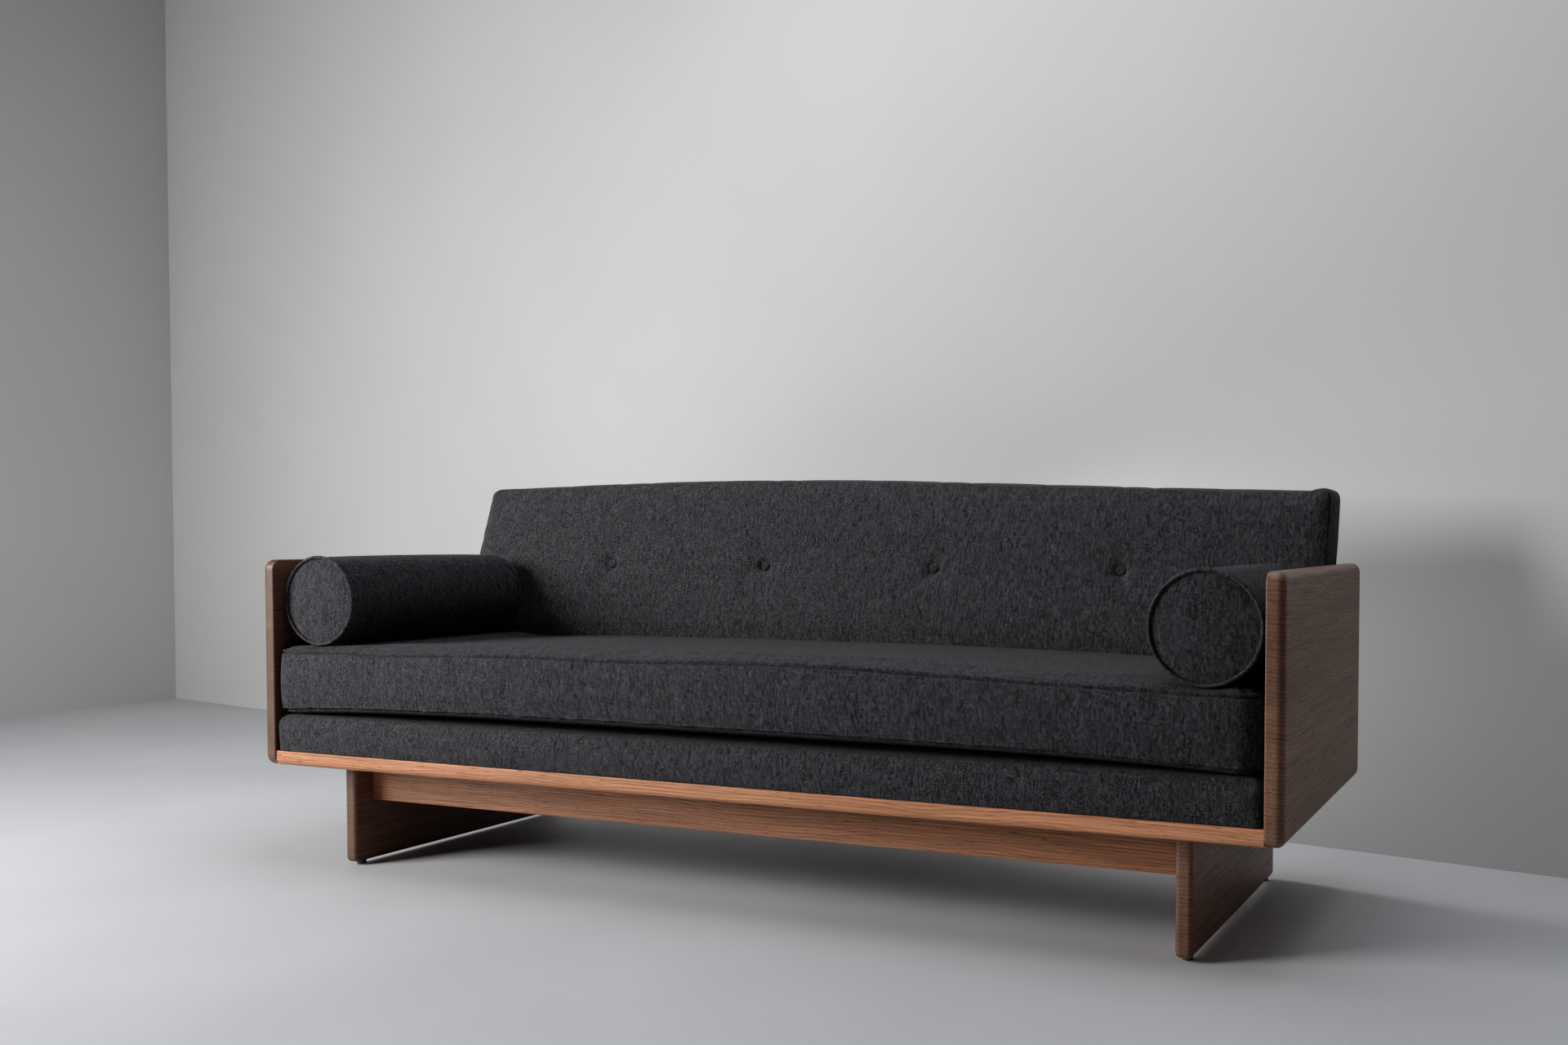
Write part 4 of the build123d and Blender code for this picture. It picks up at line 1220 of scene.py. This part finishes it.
def makeZip(name, start, along, out, length, body, node):
    # two cloth tapes, a row of coil teeth between them and a slider with its pull
    start, along, out = Vector(start), Vector(along).normalized(), Vector(out).normalized()
    across = along.cross(out)
    points, faces = [], []

    def slab(middle, a, b, c, roundOff=0.25):
        # a soft-edged block, half sizes a along, b across, c out
        base = len(points)
        for lift, drawIn in ((-1, 0.0), (0.4, 0.0), (1, roundOff)):
            for sa, sb in ((-1, -1), (1, -1), (1, 1), (-1, 1)):
                points.append(
                    middle + along * a * (1 - drawIn) * sa + across * b * (1 - drawIn) * sb + out * c * lift
                )
        for level in (0, 1):
            for k in range(4):
                m = (k + 1) % 4
                low = base + level * 4
                faces.append((low + k, low + m, low + 4 + m, low + 4 + k))
        faces.append((base + 3, base + 2, base + 1, base))
        faces.append((base + 8, base + 9, base + 10, base + 11))

    count = int(length / zipPitch)
    for i in range(count):
        for row in (-1, 1):
            shift = 0.0 if row < 0 else zipPitch / 2
            slab(
                start + along * (i * zipPitch + shift + 0.001) + across * row * 0.0009, 0.00105,
                zipToothWide / 2 * 0.75, 0.0006
            )
    teeth = makeMesh(name + "Teeth", [tuple(p) for p in points], faces)
    wear(teeth, zipCoil, body, "zip")
    points.clear()
    faces.clear()
    steps = 60
    for row in (-1, 1):
        base = len(points)
        for i in range(steps + 1):
            place = start + along * (length * i / steps)
            for reach, lift in ((0.0011, 0.0), (0.0018, 0.00045), (0.0034, 0.0005), (0.0044, -0.0002)):
                points.append(place + across * row * reach + out * lift)
        for i in range(steps):
            for k in range(3):
                a, b = base + i * 4 + k, base + (i + 1) * 4 + k
                faces.append((a, b, b + 1, a + 1) if row > 0 else (a, a + 1, b + 1, b))
    tapes = makeMesh(name + "Tapes", [tuple(p) for p in points], faces)
    tapes.modifiers.new("cloth thickness", "SOLIDIFY").thickness = 0.0006
    baked(tapes)
    wear(tapes, woolMaterial(name + "TapeWool", 40.0, 0.0, 0.5), body, "zip")
    points.clear()
    faces.clear()
    slab(start + along * 0.006 + out * 0.0009, 0.0045, 0.0036, 0.0013, 0.3)
    slab(start + along * 0.0035 + out * 0.0026, 0.0022, 0.0012, 0.0007, 0.4)
    slab(start + along * 0.0035 + out * 0.0023 - along * 0.011, 0.0105, 0.0024, 0.0005, 0.15)
    puller = makeMesh(name + "Pull", [tuple(p) for p in points], faces)
    puller.modifiers.new("soft edges", "BEVEL").width = 0.0003
    baked(puller)
    wear(puller, zipSteel, body, "zip")
    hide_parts(node)


def surfaceOut(piece, origin, direction):
    tree = BVHTree.FromPolygons(
        [v.co for v in piece.data.vertices], [p.vertices for p in piece.data.polygons]
    )
    return tree.ray_cast(Vector(origin), Vector(direction))[0]


lo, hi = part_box("seat_zip")
zipZ = (lo.z + hi.z) / 2
skin = surfaceOut(seatPiece, (lo.x + 0.3, hi.y + 0.1, zipZ), (0, -1, 0))
makeZip("seatZip", (lo.x, skin.y + 0.0008, zipZ), (1, 0, 0), (0, 1, 0), hi.x - lo.x, "seat", "seat_zip")
for name, cushion in (("left", leftBolster), ("right", rightBolster)):
    lo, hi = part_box(name + "_bolster_zip")
    zipZ = (lo.z + hi.z) / 2
    outX = side(name)
    skin = surfaceOut(cushion, (outX * 1.2, (lo.y + hi.y) / 2, zipZ), (-outX, 0, 0))
    makeZip(
        name + "BolsterZip", (skin.x + outX * 0.0006, lo.y, zipZ), (0, 1, 0), (outX, 0, 0), hi.y - lo.y,
        name + "_bolster", name + "_bolster_zip"
    )
print("zips made")


# floor, light and camera

studio = {
    "cornerX": -3.87, "wallNear": 0.832, "wallTurn": -0.212,
    "wallRight": 7.0, "wallFront": -7.0, "wallHeight": 3.7,
    "windowPlace": (-2.6, -2.4, 1.55), "windowAim": (0.15, 0.1, 0.4),
    "windowWide": 1.5, "windowHigh": 1.6, "windowPower": 142,
    "ceilingPlace": (0.7, 0.25, 3.3), "ceilingAim": (1.4, -0.3, 0),
    "ceilingWide": 3.2, "ceilingHigh": 2.4, "ceilingPower": 60,
    "gapPlace": (-0.35, 0.66, 0.42), "gapAim": (1.3, 0.46, 0.42),
    "gapWide": 0.25, "gapHigh": 0.4, "gapPower": 3.5, "gapSpread": 60,
    "ambient": 0.03, "shown": 0.50,
    "daylight": (1.0, 0.99, 0.97), "skylight": (0.93, 0.96, 1.0),
}


def floorMaterial():
    material, tree, shader = newMaterial("paleFloor")
    mottle = noise(tree, objectPlace(tree), 1.4, 4.0, 0.55)
    fine = noise(tree, objectPlace(tree), 260.0, 2.0)
    tree.links.new(
        blendColours(tree, between(tree, mottle, 0.35, 0.65), (0.53, 0.54, 0.57), (0.57, 0.58, 0.605)),
        shader.inputs["Base Color"]
    )
    tree.links.new(between(tree, mottle, 0.3, 0.7, 0.56, 0.66), shader.inputs["Roughness"])
    shader.inputs["Specular IOR Level"].default_value = 0.35
    bump(tree, shader, fine, 0.0002, 0.15)
    return material


def wallMaterial():
    # painted plaster; seen from behind it lets the light and the view through
    material, tree, shader = newMaterial("paleWall")
    mottle = noise(tree, objectPlace(tree), 1.1, 3.0, 0.5)
    tree.links.new(
        blendColours(tree, between(tree, mottle, 0.35, 0.65), (0.545, 0.545, 0.54), (0.57, 0.57, 0.565)),
        shader.inputs["Base Color"]
    )
    shader.inputs["Roughness"].default_value = 0.85
    bump(tree, shader, noise(tree, objectPlace(tree), 180.0, 3.0), 0.0003, 0.2)
    clear = tree.nodes.new("ShaderNodeBsdfTransparent")
    mix = tree.nodes.new("ShaderNodeMixShader")
    tree.links.new(tree.nodes.new("ShaderNodeNewGeometry").outputs["Backfacing"], mix.inputs[0])
    tree.links.new(shader.outputs[0], mix.inputs[1])
    tree.links.new(clear.outputs[0], mix.inputs[2])
    tree.links.new(mix.outputs[0], tree.nodes["Material Output"].inputs["Surface"])
    return material


def makeFloor():
    rings, turns = [0.4, 1.0, 2.0, 4.0, 8.0, 16.0], 48
    points = [(0, 0, 0)] + [
        (r * math.cos(6.2832 * k / turns), r * math.sin(6.2832 * k / turns), 0)
        for r in rings for k in range(turns)
    ]
    faces = [(0, 1 + k, 1 + (k + 1) % turns) for k in range(turns)]
    for i in range(len(rings) - 1):
        for k in range(turns):
            m = (k + 1) % turns
            faces.append(
                (1 + i * turns + k, 1 + (i + 1) * turns + k, 1 + (i + 1) * turns + m, 1 + i * turns + m)
            )
    floor = makeMesh("studioFloor", points, faces)
    floor.data.materials.append(floorMaterial())


def makeWalls():
    def along(x):
        return studio["wallNear"] + studio["wallTurn"] * x
    left, right, high = studio["cornerX"], studio["wallRight"], studio["wallHeight"]
    base = [(left, studio["wallFront"]), (left, along(left)), (right, along(right))]
    points = [(x, y, z) for z in (0, high) for x, y in base]
    walls = makeMesh("studioWalls", points, [(0, 1, 4, 3), (1, 2, 5, 4)])
    walls.data.materials.append(wallMaterial())
    walls.data.shade_flat()


def aim(thing, place, target):
    thing.location = place
    thing.rotation_mode = "QUATERNION"
    thing.rotation_quaternion = (Vector(target) - Vector(place)).to_track_quat("-Z", "Y")


def areaLight(name, place, target, width, height, power, colour):
    lamp = bpy.data.lights.new(name, "AREA")
    lamp.shape = "RECTANGLE"
    lamp.size, lamp.size_y = width, height
    lamp.energy = power
    lamp.color = colour
    piece = bpy.data.objects.new(name, lamp)
    scene.collection.objects.link(piece)
    aim(piece, place, target)
    return piece


def makeWorld():
    # the eye sees a pale room, the light from all round is weak
    world = bpy.data.worlds.new("studio")
    scene.world = world
    world.use_nodes = True
    tree = world.node_tree
    quiet = tree.nodes["Background"]
    quiet.inputs["Color"].default_value = (0.9, 0.95, 1.0, 1)
    quiet.inputs["Strength"].default_value = studio["ambient"]
    shown = tree.nodes.new("ShaderNodeBackground")
    shown.inputs["Color"].default_value = (1.0, 1.0, 0.99, 1)
    shown.inputs["Strength"].default_value = studio["shown"]
    mix = tree.nodes.new("ShaderNodeMixShader")
    tree.links.new(tree.nodes.new("ShaderNodeLightPath").outputs["Is Camera Ray"], mix.inputs[0])
    tree.links.new(quiet.outputs[0], mix.inputs[1])
    tree.links.new(shown.outputs[0], mix.inputs[2])
    tree.links.new(mix.outputs[0], tree.nodes["World Output"].inputs["Surface"])




def studioLight(name, part, colour):
    # part: the first word of the light's values in the studio dictionary
    place, target, wide, high, power = (
        studio[part + end]
        for end in ("Place", "Aim", "Wide", "High", "Power")
    )
    return areaLight(name, place, target, wide, high, power, studio[colour])


makeFloor()
makeWalls()
makeWorld()
studioLight("windowLight", "window", "daylight")
studioLight("ceilingBounce", "ceiling", "skylight")
gap = studioLight("gapGlow", "gap", "daylight")
gap.data.spread = math.radians(studio["gapSpread"])
gap.visible_camera = False

camera = {
    "place": (1.44707, -2.50313, 0.67071), "yaw": 0.3909420, "pitch": -0.0333077, "roll": 0.0026541,
    "lens": 33.2419, "shiftX": -0.135173, "shiftY": 0.038962,
}


def makeCamera():
    yaw, pitch, roll = camera["yaw"], camera["pitch"], camera["roll"]
    ahead = Vector((-math.sin(yaw) * math.cos(pitch), math.cos(yaw) * math.cos(pitch), math.sin(pitch)))
    levelRight = Vector((math.cos(yaw), math.sin(yaw), 0))
    levelUp = levelRight.cross(ahead)
    right = levelRight * math.cos(roll) + levelUp * math.sin(roll)
    up = levelUp * math.cos(roll) - levelRight * math.sin(roll)
    data = bpy.data.cameras.new("studioCamera")
    data.sensor_width = 36
    data.lens = camera["lens"]
    data.shift_x, data.shift_y = camera["shiftX"], camera["shiftY"]
    data.clip_end = 60
    piece = bpy.data.objects.new("studioCamera", data)
    scene.collection.objects.link(piece)
    piece.matrix_world = Matrix((
        (right.x, up.x, -ahead.x, camera["place"][0]),
        (right.y, up.y, -ahead.y, camera["place"][1]),
        (right.z, up.z, -ahead.z, camera["place"][2]),
        (0, 0, 0, 1)))
    scene.camera = piece


makeCamera()
scene.view_settings.view_transform = "Standard"
scene.view_settings.look = "None"
scene.view_settings.use_curve_mapping = True
toneCurve = scene.view_settings.curve_mapping
for shade, shown in ((0.012, 0.006), (0.05, 0.040), (0.20, 0.195)):
    toneCurve.curves[3].points.new(shade, shown)
toneCurve.update()
print("floor, light and camera set")
